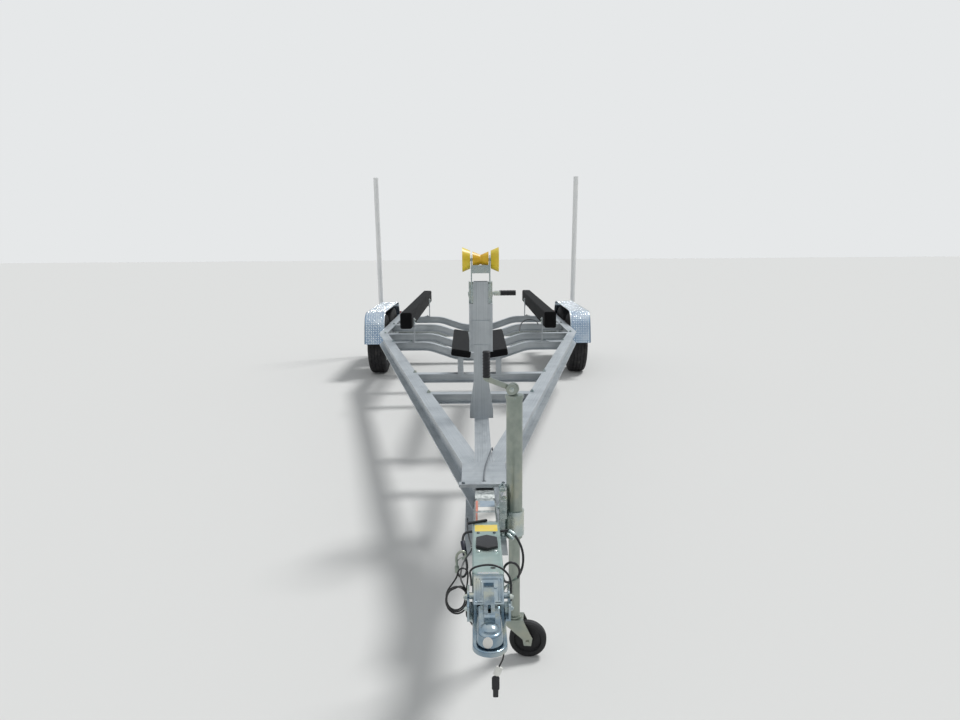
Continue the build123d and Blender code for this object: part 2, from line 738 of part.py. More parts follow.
def reservoir_cap():
    """Six-sided black cap of the brake reservoir, its corners rounded."""
    points = [(0, -3666), (33, -3684), (34, -3748), (0, -3767), (-34, -3748), (-33, -3684)]
    cap = plan(points, SLIDE_TOP, SLIDE_TOP + 10)
    cap = fillet(cap.edges().filter_by(Axis.Z), 5)
    return chamfer(cap.faces().sort_by(Axis.Z)[-1].edges(), 2)


def actuator_lever():
    """Black lever that lies across the slide."""
    points = [(-63, -3553), (-60, -3561), (5, -3533), (2, -3525)]
    return plan(points, SLIDE_TOP, SLIDE_TOP + 6)


def ball_cavity():
    """Socket for the ball: hemisphere on top of a straight mouth, as one turned tool."""
    r = SOCKET_R
    top = SOCKET_Z
    low = RIM_Z - 20
    outline = Wire([
        Line((0, 0, low), (r, 0, low)),
        Line((r, 0, low), (r, 0, top)),
        ThreePointArc((r, 0, top), (r * math.cos(math.pi / 4), 0, top + r * math.sin(math.pi / 4)), (0, 0, top + r)),
        Line((0, 0, top + r), (0, 0, low)),
    ])
    return Pos(0, SOCKET_Y, 0) * revolve(Face(outline), Axis.Z, 360)


def nose_plan(half, y_front, y_rear, z):
    """Plan face with straight sides and a half-round nose."""
    y_mid = y_front + half
    return Face(Wire([
        Line((-half, y_mid, z), (-half, y_rear, z)),
        Line((-half, y_rear, z), (half, y_rear, z)),
        Line((half, y_rear, z), (half, y_mid, z)),
        ThreePointArc((half, y_mid, z), (0, y_front, z), (-half, y_mid, z)),
    ]))


def coupler_rim():
    """Rolled rim round the pressing, raised at its edge round a shallow gutter."""
    rim = extrude(nose_plan(RIM_HALF, NOSE_Y, SLIDE_FRONT, RIM_Z), RIM_H, dir=(0, 0, 1))
    gutter = extrude(
        nose_plan(RIM_HALF - 5, NOSE_Y + 5, BODY_REAR, RIM_Z + RIM_H - 4), 10, dir=(0, 0, 1))
    rim = fillet(rim.faces().sort_by(Axis.Z)[-1].edges(), 4)
    return rim - gutter


def coupler_body():
    """Raised part of the pressing, its sides drawn in and its top edge rounded, with the dome over the ball."""
    foot = nose_plan(BODY_HALF, NOSE_Y + 11, BODY_REAR, RIM_Z + 2)
    body = extrude(foot, BODY_TOP - RIM_Z - 2, dir=(0, 0, 1), taper=7)
    top = body.faces().sort_by(Axis.Z)[-1].edges()
    rear = top.sort_by(Axis.Y)[-1]
    body = fillet([edge for edge in top if edge != rear], 8)
    return body + Pos(0, SOCKET_Y, SOCKET_Z) * Sphere(DOME_R)


def coupler_housing():
    """Upright rear housing: sloping ribbed front in a raised border, with a slot for the latch."""
    profile = [
        (SLIDE_FRONT, RIM_Z), (SLIDE_FRONT, SLIDE_TOP), (-3958, HOUSING_TOP), (-3972, HOUSING_TOP),
        (HOUSING_FRONT, 538), (HOUSING_FRONT, RIM_Z),
    ]
    housing = side(profile, -HOUSING_HALF, HOUSING_HALF)
    slope = Vector(0, HOUSING_FRONT + 3972, 538 - HOUSING_TOP)
    length = slope.length
    panel = Plane(origin=(0, -3972, HOUSING_TOP), x_dir=(1, 0, 0), z_dir=slope.cross(Vector(-1, 0, 0)))
    reach = 1 if panel.y_dir.dot(slope) > 0 else -1
    sink = 3
    recess = panel * Pos(0, reach * length / 2, -sink / 2) * Box(2 * HOUSING_HALF - 12, length - 12, sink)
    housing -= recess
    # x and half width of the ribs in the recess
    for x, half in ((-29, 2), (-21, 2), (29, 2)):
        housing += panel * Pos(x, reach * length / 2, -sink / 2) * Box(2 * half, length - 12, sink)
    boss = panel * Pos(19, reach * length * 0.36, -sink / 2) * Cylinder(6, sink)
    return housing + boss


def coupler_ears():
    """Side ears that the actuator's bolts go through, in two steps on each side."""
    ears = []
    for sign in (-1, 1):
        x0, x1 = sign * EAR_X[0], sign * EAR_X[1]
        # y range and top of each step
        for y0, y1, top in ((-3990, -3940, 553), (-4038, -3992, 540)):
            ear = block(x0, x1, y0, y1, RIM_Z, top)
            ear = fillet(ear.edges().filter_by(Axis.X).group_by(Axis.Z)[-1], 8)
            ears.append(ear)
        ears.append(block(sign * HOUSING_HALF, x0, -4038, -3940, RIM_Z, RIM_Z + 6))
        ears.append(rod_x(9, min(sign * HOUSING_HALF, x0), max(sign * HOUSING_HALF, x0), -3965, 530))
    return ears


def coupler_head():
    """Stamped coupler, open underneath for the ball and its clamp."""
    head = coupler_rim() + coupler_body() + coupler_housing()
    for ear in coupler_ears():
        head += ear
    head -= block(-24, 24, -4090, -3945, RIM_Z - 10, BODY_TOP - 6)
    head -= block(-LATCH_HALF - 0.2, LATCH_HALF + 0.2, HOUSING_FRONT - 1, LATCH_BACK, 556, HOUSING_TOP + 10)
    return head - ball_cavity()


def coupler_latch():
    """Latch lever: a slotted strip out of the housing, its tip turned down on the dome."""
    outline = [
        (LATCH_BACK, 574), (LATCH_BACK, 564), (-4040, 562), (-4128, 553), (-4134, 540), (-4142, 540), (-4142, 562),
        (-4136, 566), (-4040, 572),
    ]
    lever = side(outline, -LATCH_HALF, LATCH_HALF)
    lever -= block(-4, 4, -4128, -4090, 500, 640)
    return lever - Pos(0, SOCKET_Y, SOCKET_Z) * Sphere(DOME_R)


def guide_bracket():
    """Bent steel tube from the rail out and up into the guide post."""
    z = 520
    lean = math.tan(math.radians(GUIDE_LEAN))
    points = [(RAIL_OUT, GUIDE_Y, z), (GUIDE_X, GUIDE_Y, z), (GUIDE_X + lean * 400, GUIDE_Y, z + 400)]
    path = FilletPolyline(*points, radius=70)
    ring = Plane(origin=points[0], z_dir=(1, 0, 0)) * Circle(24)
    tube = sweep(ring, path=path)
    flange = block(RAIL_OUT, RAIL_OUT + 8, GUIDE_Y - 50, GUIDE_Y + 50, FRAME_TOP - BEAM_H, FRAME_TOP)
    return tube + flange


def guide_post():
    """White plastic pipe with a closed top, leaning a little outwards."""
    length = GUIDE_TOP - 620
    pipe = Pos(0, 0, length / 2) * Cylinder(GUIDE_R, length)
    pipe -= Pos(0, 0, 310 / 2 - 5) * Cylinder(24.2, 310)
    lean = math.tan(math.radians(GUIDE_LEAN))
    return Pos(GUIDE_X + lean * 100, GUIDE_Y, 620) * Rot(0, GUIDE_LEAN, 0) * pipe


def tail_light():
    """Lamp beside the rail's rear end, on a plate from the rail's web."""
    web = RAIL_OUT - (BEAM_FLANGE - BEAM_WEB) / 2
    lamp = block(RAIL_OUT + 12, RAIL_OUT + 132, 4150, 4190, 480, 570)
    lamp = fillet(lamp.faces().sort_by(Axis.Y)[-1].edges(), 8)
    return lamp + block(web, RAIL_OUT + 110, 4144, 4150, 485, 565)


def cord(points, diameter, share=0.45):
    """Round cord along straight runs joined by tangent arcs as large as the runs allow."""
    radii = []
    for before, at, after in zip(points, points[1:], points[2:]):
        a = Vector(*at) - Vector(*before)
        b = Vector(*after) - Vector(*at)
        turn = math.radians(a.get_angle(b))
        radii.append(share * min(a.length, b.length) / math.tan(turn / 2))
    path = FilletPolyline(*points, radius=radii)
    start = Vector(*points[0])
    ahead = Vector(*points[1]) - start
    ring = Plane(origin=start, z_dir=ahead) * Circle(diameter / 2)
    tube = sweep(ring, path=path)
    ideal = math.pi * diameter ** 2 / 4 * path.length
    print("cord length %.0f smallest radius %.1f volume ratio %.3f" % (path.length, min(radii), tube.volume / ideal))
    return tube


BRAKE_LINE = [
    (46, -2560, 540), (46, -2615, 546), (45, -2662, 566), (43, -2703, 592), (38, -2755, 601), (28, -2835, 602),
    (16, -2925, 602.5), (6, -3015, 603), (1, -3090, 603), (-1, -3140, 603), (-2, -3172, 602), (-1, -3186, 597), (-1, -3186, 586),
]

SAFETY_RIGHT = [
    (45.5, -3575, 556), (60, -3575, 557), (73, -3581, 562), (87, -3592, 558), (103, -3602, 540), (116, -3612, 515),
    (121, -3622, 487), (118, -3634, 459), (107, -3646, 436), (91, -3658, 423), (73, -3670, 421), (57, -3684, 431),
    (50, -3697, 453), (50, -3708, 479), (57, -3715, 502), (72, -3718, 514), (89, -3717, 509), (101, -3713, 493),
    (104, -3709, 472), (97, -3706, 453), (83, -3704, 441),
]

SAFETY_LEFT = [
    (-45.5, -3575, 556), (-69.5, -3575, 556), (-79, -3600, 541), (-73, -3628, 510), (-63, -3653, 481),
    (-63, -3677, 463), (-72, -3699, 456), (-86, -3713, 464), (-94, -3720, 482), (-94, -3722, 502),
]

BREAKAWAY = [
    (-48.6, -3846, 502), (-48.7, -3868, 527), (-50, -3890, 553), (-53, -3903, 572), (-40, -3911, 589), (-8, -3917, 599),
    (20, -3919, 598), (42, -3921, 588), (58, -3927, 573), (65, -3937, 556), (63.5, -3950, 530), (62.3, -3970, 497),
]

WIRING_LEAD = [
    (-66, -3262, 475), (-66, -3300, 475), (-66, -3347, 487), (-64, -3400, 494), (-61, -3457, 500), (-57, -3516, 507),
    (-52, -3574, 517), (-48.3, -3632, 529), (-48.3, -3690, 541), (-57, -3740, 550), (-70, -3785, 551),
    (-79, -3820, 538), (-80, -3850, 521), (-80, -3881.8, 520),
]

WIRING_TAIL = [
    (-67.2, -3890, 447.7), (-60, -3890, 440), (-48, -3893, 420), (-32, -3896, 396), (-11, -3899, 377), (13, -3901, 362),
    (34, -3903, 347), (45, -3904, 326), (44, -3904, 303), (35, -3904, 283), (25, -3904, 264), (21, -3904, 245),
]

COIL_CENTRE = (-92, -3890, 482)
COIL_OUT = [35, 49]     # half width and half height over the turns
COIL_IN = [24, 30]


def wiring_coil():
    """Outer shape of the few loose turns of the lead, taller than wide."""
    x, y, z = COIL_CENTRE
    face = Plane(origin=(x, y, z), x_dir=(1, 0, 0), z_dir=(0, 1, 0))
    return extrude(face * Ellipse(*COIL_OUT), 8, both=True) - extrude(face * Ellipse(*COIL_IN), 9, both=True)


def wiring_plug():
    """Flat four-way plug on the end of the lead."""
    x, y, z = WIRING_TAIL[-1]
    body = block(x - 11.5, x + 11.5, y - 5, y + 5, z - 42, z)
    body = chamfer(body.edges().filter_by(Axis.Y), 3)
    body += block(x - 8, x + 8, y - 4, y + 4, z - 66, z - 42)
    return body


def main():
    beam = main_beam()
    save("main_beam_right", beam)
    save("main_beam_left", mirror_x(beam))
    save("tongue_plates", tongue_plates())
    save("tongue_tube", tongue_tube())
    save("cross_members_straight", solids(*[straight_member(y) for y in STRAIGHT_Y]))
    save("cross_members_curved", solids(*[curved_member(y) for y in CURVED_Y]))

    save("winch_pedestal", winch_pedestal())
    save("winch_post", winch_post())
    save("roller_bracket", roller_bracket())
    save("bow_roller", bow_roller())
    save("winch_frame", winch_frame())
    save("winch_drum", winch_drum())
    save("winch_crank", winch_crank())

    save("jack_mount", jack_mount())
    save("jack_tube", jack_tube())
    save("jack_crank", jack_crank())
    save("jack_leg", jack_leg())
    save("jack_fork", jack_fork())
    save("jack_wheel", jack_wheel())

    save("bunk_right", bunk())
    save("bunk_left", mirror_x(bunk()))
    save("bunk_brackets", bunk_brackets())
    save("front_bunk_right", keel_bunk())
    save("front_bunk_left", mirror_x(keel_bunk()))
    save("front_bunk_posts", keel_posts())

    right = fender()
    save("fender_right", right)
    save("fender_left", mirror_x(right))
    save("fender_braces", fender_braces())
    save("axle_front", axle(AXLE_Y[0]))
    save("axle_rear", axle(AXLE_Y[1]))

    rim = wheel_rim()
    ring = tyre()
    # name, axle y, side
    for name, y, sign in (
        ("front_right", AXLE_Y[0], 1), ("front_left", AXLE_Y[0], -1),
        ("rear_right", AXLE_Y[1], 1), ("rear_left", AXLE_Y[1], -1),
    ):
        place = Pos(WHEEL_X, y, WHEEL_R)
        wheel = place * rim
        rubber = place * ring
        if sign < 0:
            wheel = mirror_x(wheel)
            rubber = mirror_x(rubber)
        save("rim_" + name, wheel)
        save("tyre_" + name, rubber)

    bracket = guide_bracket()
    post = guide_post()
    lamp = tail_light()
    save("guide_brackets", solids(bracket, mirror_x(bracket)))
    save("guide_posts", solids(post, mirror_x(post)))
    save("tail_lights", solids(lamp, mirror_x(lamp)))

    save("actuator_case", actuator_case())
    save("actuator_slide", actuator_slide())
    save("actuator_lever", actuator_lever())
    save("reservoir_cap", reservoir_cap())
    save("coupler_head", coupler_head())
    save("coupler_latch", coupler_latch())
    save("brake_line", cord(BRAKE_LINE, 5))
    save("safety_cables", solids(cord(SAFETY_RIGHT, 8), cord(SAFETY_LEFT, 8)))
    save("breakaway_cable", cord(BREAKAWAY, 6))
    save("wiring_lead", solids(cord(WIRING_LEAD, 5), cord(WIRING_TAIL, 5)))
    save("wiring_coil", wiring_coil())
    save("wiring_plug", wiring_plug())


main()
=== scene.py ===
import math

import bmesh
import bpy
from mathutils import Matrix, Vector, noise
from mathutils.bvhtree import BVHTree


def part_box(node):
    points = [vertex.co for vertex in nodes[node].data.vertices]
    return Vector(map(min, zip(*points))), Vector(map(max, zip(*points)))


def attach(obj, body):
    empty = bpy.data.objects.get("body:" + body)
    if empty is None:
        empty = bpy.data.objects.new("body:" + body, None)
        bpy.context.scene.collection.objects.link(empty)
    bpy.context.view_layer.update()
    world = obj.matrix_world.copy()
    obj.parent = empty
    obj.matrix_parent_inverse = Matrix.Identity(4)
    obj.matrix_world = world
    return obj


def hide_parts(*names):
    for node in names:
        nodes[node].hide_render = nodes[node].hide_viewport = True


# Tandem-axle aluminium boat trailer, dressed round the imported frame. Metres; -Y is the coupler's end.

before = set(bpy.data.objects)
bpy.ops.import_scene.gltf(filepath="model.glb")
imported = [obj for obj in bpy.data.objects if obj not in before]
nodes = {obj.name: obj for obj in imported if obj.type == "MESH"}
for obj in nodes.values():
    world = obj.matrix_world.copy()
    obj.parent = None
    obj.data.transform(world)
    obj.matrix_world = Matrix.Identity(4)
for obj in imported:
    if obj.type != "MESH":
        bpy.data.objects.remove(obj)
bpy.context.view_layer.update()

WHEEL_R = 0.344
WHEEL_X = 1.156
AXLE_Y = {"front": 2.580, "rear": 3.440}
SIDES = (("right", 1), ("left", -1))
FRAME_TOP = 0.590
FRAME_LOW = 0.463
PLATE_TOP = 0.602
CASE_TOP = 0.572
SLIDE_TOP = 0.574
LABEL_THICK = 0.0004
RAIL_OUT = 1.016
BEAM_MEET = (0.090, -2.930)      # where the outer edges of the tongue beams meet the plate
KINK_Y = 1.545
BEAM_SLOPE = (RAIL_OUT - BEAM_MEET[0]) / (KINK_Y - BEAM_MEET[1])
BUNK_X = 0.660
LENS_Y = 4.190
BELL_X = 0.050                   # the bow roller's bells lie beyond this X


# Colour, nodes and materials

def linear(code):
    """sRGB hex colour as linear RGBA."""
    rgb = [int(code[i:i + 2], 16) / 255 for i in (0, 2, 4)]
    return [c / 12.92 if c <= 0.04045 else ((c + 0.055) / 1.055) ** 2.4 for c in rgb] + [1.0]


def node(tree, kind, inputs=None, stops=None, **settings):
    """Adds a node with its settings, its values and its links."""
    made = tree.nodes.new(kind)
    for name, value in settings.items():
        setattr(made, name, value)
    for key, value in (inputs or {}).items():
        if isinstance(value, bpy.types.NodeSocket):
            tree.links.new(value, made.inputs[key])
        else:
            made.inputs[key].default_value = value
    for step, (at, code) in enumerate(stops or []):
        if step >= len(made.color_ramp.elements):
            made.color_ramp.elements.new(at)
        made.color_ramp.elements[step].position = at
        made.color_ramp.elements[step].color = linear(code)
    return made


def finish_material(made, colour, rough, metallic, bump, depth, **fixed):
    """Principled surface; colour, rough and bump may be sockets of its tree, depth is in metres."""
    tree = made.node_tree
    inputs = {"Base Color": colour, "Roughness": rough, "Metallic": metallic}
    shader = node(tree, "ShaderNodeBsdfPrincipled", inputs)
    for key, value in fixed.items():
        shader.inputs[key.replace("_", " ")].default_value = value
    raised = node(tree, "ShaderNodeBump", {"Height": bump, "Strength": 1.0, "Distance": depth})
    tree.links.new(raised.outputs["Normal"], shader.inputs["Normal"])
    node(tree, "ShaderNodeOutputMaterial", {"Surface": shader.outputs["BSDF"]})
    return made


def blank_material(name):
    """New material, its tree, and the vector of object coordinates in metres."""
    made = bpy.data.materials.new(name)
    made.use_nodes = True
    made.node_tree.nodes.clear()
    place = node(made.node_tree, "ShaderNodeTexCoord").outputs["Object"]
    return made, made.node_tree, place


def maths(tree, operation, *values):
    """Result of one math node on values or sockets."""
    return node(tree, "ShaderNodeMath", dict(enumerate(values)), operation=operation).outputs[0]


def grain(tree, place, scale, detail, rough=0.55):
    """Noise on a stretched copy of the place vector; scale is in repeats a metre for X, Y and Z."""
    stretched = node(tree, "ShaderNodeMapping", {"Vector": place, "Scale": scale}).outputs["Vector"]
    inputs = {"Vector": stretched, "Scale": 1.0, "Detail": detail, "Roughness": rough}
    return node(tree, "ShaderNodeTexNoise", inputs).outputs["Fac"]


def spread(tree, value, low, high, source=(0.3, 0.7)):
    """Maps a noise value to a range."""
    inputs = {"Value": value, "From Min": source[0], "From Max": source[1], "To Min": low, "To Max": high}
    return node(tree, "ShaderNodeMapRange", inputs).outputs["Result"]


def shades(tree, value, *stops):
    """Colour ramp; a stop is (value, sRGB hex colour)."""
    return node(tree, "ShaderNodeValToRGB", {"Fac": value}, stops=stops).outputs["Color"]


def blend_colours(tree, share, first, second):
    """Mix of two colours; the share is a value or a socket."""
    made = node(tree, "ShaderNodeMix", data_type="RGBA")
    colour_a, colour_b = [s for s in made.inputs if s.type == "RGBA"]
    for socket, value in ((made.inputs[0], share), (colour_a, first), (colour_b, second)):
        if isinstance(value, bpy.types.NodeSocket):
            tree.links.new(value, socket)
        else:
            socket.default_value = value
    return [s for s in made.outputs if s.type == "RGBA"][0]


def extruded_aluminium(name, scale, beam=False):
    """Aluminium as it left the die: dull silver with fine die lines along its length and faint clouding."""
    made, tree, place = blank_material(name)
    along = place
    if beam:
        # The distance in from the beam's outer edge takes X's place, so the lines follow the bend.
        axes = node(tree, "ShaderNodeSeparateXYZ", {"Vector": place}).outputs
        start = BEAM_MEET[0] - BEAM_SLOPE * BEAM_MEET[1]
        line = maths(tree, "MULTIPLY_ADD", axes["Y"], BEAM_SLOPE, start)
        edge = maths(tree, "MINIMUM", line, RAIL_OUT)
        inset = maths(tree, "SUBTRACT", edge, maths(tree, "ABSOLUTE", axes["X"]))
        parts = {"X": inset, "Y": axes["Y"], "Z": axes["Z"]}
        along = node(tree, "ShaderNodeCombineXYZ", parts).outputs["Vector"]
    lines = grain(tree, along, scale, 3.0)
    cloud = grain(tree, place, (5, 5, 5), 5.0)
    scuffs = grain(tree, place, (42, 42, 42), 6.0, rough=0.7)
    body = shades(tree, cloud, (0.32, "a6abaf"), (0.5, "b8bdc0"), (0.68, "c3c7ca"))
    streak = shades(tree, lines, (0.35, "8f9498"), (0.5, "c6cacd"), (0.62, "dcdfe1"))
    colour = blend_colours(tree, 0.22, body, streak)
    rough = spread(tree, scuffs, 0.34, 0.52)
    return finish_material(made, colour, rough, 0.88, lines, 0.00025)


def surface(name, cloud, fine, stops, rough, metallic, depth, **fixed):
    """Coloured by one noise, rough and raised by a finer one; a noise is (scale, detail, roughness)."""
    made, tree, place = blank_material(name)
    fine = grain(tree, place, *fine)
    colour = shades(tree, grain(tree, place, *cloud), *stops)
    return finish_material(made, colour, spread(tree, fine, *rough), metallic, fine, depth, **fixed)


def bright_tread_plate():
    """Bright-rolled aluminium plate: nearly a mirror, with a blue cast and light rolling lines."""
    stops = [(0.35, "98abbf"), (0.55, "abbac8"), (0.7, "c2ccd5")]
    cloud, fine = ((7, 7, 7), 4.0), ((300, 8, 300), 2.0)
    return surface("bright_tread_plate", cloud, fine, stops, (0.16, 0.26), 1.0, 0.0001)


def zinc_plate(name, cold, middle, warm, rough=(0.2, 0.36)):
    """Bright zinc plating: blue-white steel with a faint yellow passivation in patches."""
    stops = [(0.34, cold), (0.52, middle), (0.68, warm)]
    return surface(name, ((16, 16, 16), 4.0), ((60, 60, 60), 3.0), stops, rough, 1.0, 0.00003)


def spangled_zinc():
    """Hot-dip galvanised steel: pale grey crystals of uneven brightness, about 8 mm across."""
    made, tree, place = blank_material("spangled_zinc")
    cells = node(tree, "ShaderNodeTexVoronoi", {"Vector": place, "Scale": 120.0, "Randomness": 1.0})
    tone = node(tree, "ShaderNodeSeparateColor", {"Color": cells.outputs["Color"]}).outputs[0]
    colour = shades(tree, tone, (0.0, "9aa09f"), (0.5, "b1b6b5"), (1.0, "c4c8c6"))
    return finish_material(made, colour, spread(tree, tone, 0.36, 0.52, (0, 1)), 0.9, tone, 0.00008)


def needled_carpet():
    """Black polypropylene bunk carpet: needled fibres with a dull nap that catches dust on top."""
    made, tree, place = blank_material("needled_carpet")
    fibre = grain(tree, place, (520, 260, 520), 3.0, rough=0.8)
    tuft = grain(tree, place, (120, 120, 120), 5.0, rough=0.7)
    wear = grain(tree, place, (6, 3, 6), 4.0)
    nap = shades(tree, fibre, (0.3, "040405"), (0.55, "0d0d0f"), (0.75, "1a1a1d"))
    dust = shades(tree, wear, (0.45, "101011"), (0.75, "1d1c1b"))
    colour = blend_colours(tree, 0.3, nap, dust)
    height = maths(tree, "ADD", fibre, tuft)
    return finish_material(made, colour, 0.95, 0.0, height, 0.0008, Sheen_Weight=0.03, Specular_IOR_Level=0.2)


def tyre_rubber():
    """Carbon-black trailer tyre: matt, with grey road dust in patches."""
    stops = [(0.35, "1b1b1c"), (0.55, "29282a"), (0.75, "4a4742")]
    cloud, fine = ((22, 22, 22), 6.0, 0.7), ((380, 380, 380), 3.0)
    return surface("tyre_rubber", cloud, fine, stops, (0.72, 0.9), 0.0, 0.0003)


def moulded(name, low, high, rough, depth=0.0001, scale=90, **fixed):
    """Moulded rubber or plastic with a fine texture and slight colour variation."""
    cloud, fine = ((scale / 6,) * 3, 4.0), ((scale * 6,) * 3, 3.0)
    return surface(name, cloud, fine, [(0.35, low), (0.65, high)], rough, 0.0, depth, **fixed)


def roller_polyurethane():
    """Translucent-looking polyurethane: amber in the middle roller, paler yellow in the two end bells."""
    made, tree, place = blank_material("yellow_polyurethane")
    cloud = grain(tree, place, (14, 14, 14), 4.0)
    fine = grain(tree, place, (420, 420, 420), 3.0)
    middle = shades(tree, cloud, (0.35, "e0ae12"), (0.65, "efc42e"))
    bell = shades(tree, cloud, (0.35, "dcbf1a"), (0.65, "ead348"))
    x = node(tree, "ShaderNodeSeparateXYZ", {"Vector": place}).outputs["X"]
    outer = maths(tree, "GREATER_THAN", maths(tree, "ABSOLUTE", x), BELL_X)
    colour = blend_colours(tree, outer, middle, bell)
    rough = spread(tree, fine, 0.3, 0.45)
    return finish_material(made, colour, rough, 0.0, fine, 0.0001, Subsurface_Weight=0.08)


def printed_blank(name, colour):
    """Vinyl sticker with nothing printed on it, a little sun-faded and scratched."""
    made, tree, place = blank_material(name)
    fade = grain(tree, place, (60, 60, 60), 5.0)
    scratch = grain(tree, place, (900, 90, 900), 2.0)
    tone = blend_colours(tree, spread(tree, fade, 0.0, 0.25), linear(colour), linear("d8d6d0"))
    rough = spread(tree, scratch, 0.3, 0.5)
    return finish_material(made, tone, rough, 0.0, scratch, 0.00003, Coat_Weight=0.2)


MATERIALS = {
    "beam": extruded_aluminium("beam_aluminium", (420, 2, 420), beam=True),
    "cross": extruded_aluminium("cross_member_aluminium", (2, 380, 380)),
    "post": extruded_aluminium("post_aluminium", (420, 420, 2)),
    "tube": extruded_aluminium("tube_aluminium", (420, 2, 420)),
    "tread": bright_tread_plate(),
    # Painted highlight: the tread plate's aluminium made near white, for the lozenges and the edges that
    # catch the light.
    "lozenge": zinc_plate("tread_lozenges", "dfe5ea", "e9edf0", "f1f3f4", (0.16, 0.24)),
    "zinc": zinc_plate("bright_zinc", "aab7b8", "b7c0bd", "c3c6b8"),
    "coupler": zinc_plate("coupler_zinc", "8296a5", "a3afb4", "b9bcb0", (0.12, 0.24)),
    "jack": zinc_plate("jack_zinc", "8f9890", "9ba29a", "a6a99c", (0.3, 0.44)),
    "slide": zinc_plate("slide_zinc", "a3b6b1", "afc0bb", "b9c6bf", (0.34, 0.46)),
    "dark_zinc": zinc_plate("dark_zinc", "4a5156", "565d61", "63686a", (0.36, 0.5)),
    "galvanised": spangled_zinc(),
    "carpet": needled_carpet(),
    "tyre": tyre_rubber(),
    "rubber": moulded("black_rubber", "141415", "232325", (0.55, 0.75), 0.0002),
    "vinyl": moulded("black_vinyl", "101012", "1c1c1f", (0.3, 0.45), 0.00005, Coat_Weight=0.15),
    "plastic": moulded("black_plastic", "18181a", "26262a", (0.42, 0.6)),
    "yellow": roller_polyurethane(),
    "pvc": moulded("white_pvc", "f0f1f0", "f7f7f5", (0.3, 0.42), 0.00006, 30),
    "lens": moulded("red_lens", "7c0508", "a50b0e", (0.1, 0.2), 0.0001, Coat_Weight=0.5),
    "white_label": printed_blank("white_vinyl_label", "eceae4"),
    "yellow_label": printed_blank("yellow_vinyl_label", "f0d02c"),
    "orange_label": printed_blank("orange_vinyl_label", "d2745a"),
    "blue_label": printed_blank("grey_blue_vinyl_label", "8fa3b4"),
    "white_sheath": moulded("white_sheath", "dcdcd6", "ecece6", (0.4, 0.5)),
    "navy": moulded("navy_sleeve", "191a2c", "26273f", (0.4, 0.55)),
    "hydraulic": moulded("brake_line_coating", "565b5f", "6b7074", (0.35, 0.5)),
}

# Material, then the CAD nodes that take it.
NODE_FINISH = [
    ("beam", "main_beam_left main_beam_right"),
    ("cross", "cross_members_straight cross_members_curved fender_braces tongue_plates"),
    ("post", "winch_pedestal winch_post bunk_brackets front_bunk_posts"),
    ("tube", "tongue_tube"),
    ("tread", "fender_left fender_right"),
    ("zinc", "winch_frame winch_drum winch_crank roller_bracket jack_mount"),
    ("coupler", "coupler_head coupler_latch"),
    ("slide", "actuator_slide"),
    ("galvanised", "axle_front axle_rear guide_brackets actuator_case"),
    ("galvanised", "rim_front_left rim_front_right rim_rear_left rim_rear_right"),
    ("jack", "jack_tube jack_crank jack_leg jack_fork"),
    ("carpet", "bunk_left bunk_right front_bunk_left front_bunk_right"),
    ("rubber", "jack_wheel"),
    ("yellow", "bow_roller"),
    ("pvc", "guide_posts"),
    ("lens", "tail_lights"),
    ("plastic", "reservoir_cap actuator_lever wiring_plug"),
    ("hydraulic", "brake_line"),
    ("vinyl", "safety_cables breakaway_cable wiring_lead wiring_coil"),
]


def dress_nodes():
    """Puts each CAD node's material in all its slots."""
    for key, names in NODE_FINISH:
        for name in names.split():
            mesh = nodes[name].data
            if not mesh.materials:
                mesh.materials.append(None)
            for at in range(len(mesh.materials)):
                mesh.materials[at] = MATERIALS[key]


# Pieces

def link(name, data, key=None):
    """Object of the data in the scene, with one material where a key is given."""
    made = bpy.data.objects.new(name, data)
    bpy.context.scene.collection.objects.link(made)
    if key:
        data.materials.clear()
        data.materials.append(MATERIALS[key])
    return made


def seat(piece, slot="zinc_steel", body="frame", *replaced):
    """Rides a body and stands for any CAD nodes named; the slot is not used."""
    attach(piece, body)
    if replaced:
        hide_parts(*replaced)
    return piece


def shade(data, angle):
    """Shades faces that meet at less than an angle in degrees as one surface."""
    data.shade_smooth()
    data.set_sharp_from_angle(angle=math.radians(angle))


def mesh_from(name, bm, key, smooth=None):
    """Mesh object from a bmesh, flat or shaded smooth up to an angle in degrees."""
    bmesh.ops.recalc_face_normals(bm, faces=bm.faces)
    data = bpy.data.meshes.new(name)
    bm.to_mesh(data)
    bm.free()
    made = link(name, data, key)
    if smooth is not None:
        shade(data, smooth)
    return made


def plain_mesh(base):
    """Mesh of an object as evaluated; the object goes."""
    graph = bpy.context.evaluated_depsgraph_get()
    data = bpy.data.meshes.new_from_object(base.evaluated_get(graph))
    bpy.data.objects.remove(base)
    return data


def close_rings(bm, rings):
    """Skin over rings of equal count, with flat ends."""
    count = len(rings[0])
    for here, there in zip(rings, rings[1:]):
        for at in range(count):
            nxt = (at + 1) % count
            bm.faces.new((here[at], here[nxt], there[nxt], there[at]))
    bm.faces.new(rings[0][::-1])
    bm.faces.new(rings[-1])


def lathe(bm, profile, matrix, steps, closed=True):
    """Revolves (along, radius) points about local X and places them; an open profile gets flat ends."""
    rings = []
    for step in range(steps):
        angle = math.tau * step / steps
        ring = [Vector((a, r * math.cos(angle), r * math.sin(angle))) for a, r in profile]
        rings.append([bm.verts.new(matrix @ spot) for spot in ring])
    count = len(profile)
    for step in range(steps):
        here, there = rings[step], rings[(step + 1) % steps]
        for at in range(count if closed else count - 1):
            nxt = (at + 1) % count
            bm.faces.new((here[at], there[at], there[nxt], here[nxt]))
    if not closed:
        bm.faces.new([ring[0] for ring in reversed(rings)])
        bm.faces.new([ring[-1] for ring in rings])


def turned(name, profile, matrix, steps, key):
    """Round piece turned from an open profile."""
    bm = bmesh.new()
    lathe(bm, profile, matrix, steps, closed=False)
    return mesh_from(name, bm, key, 40)


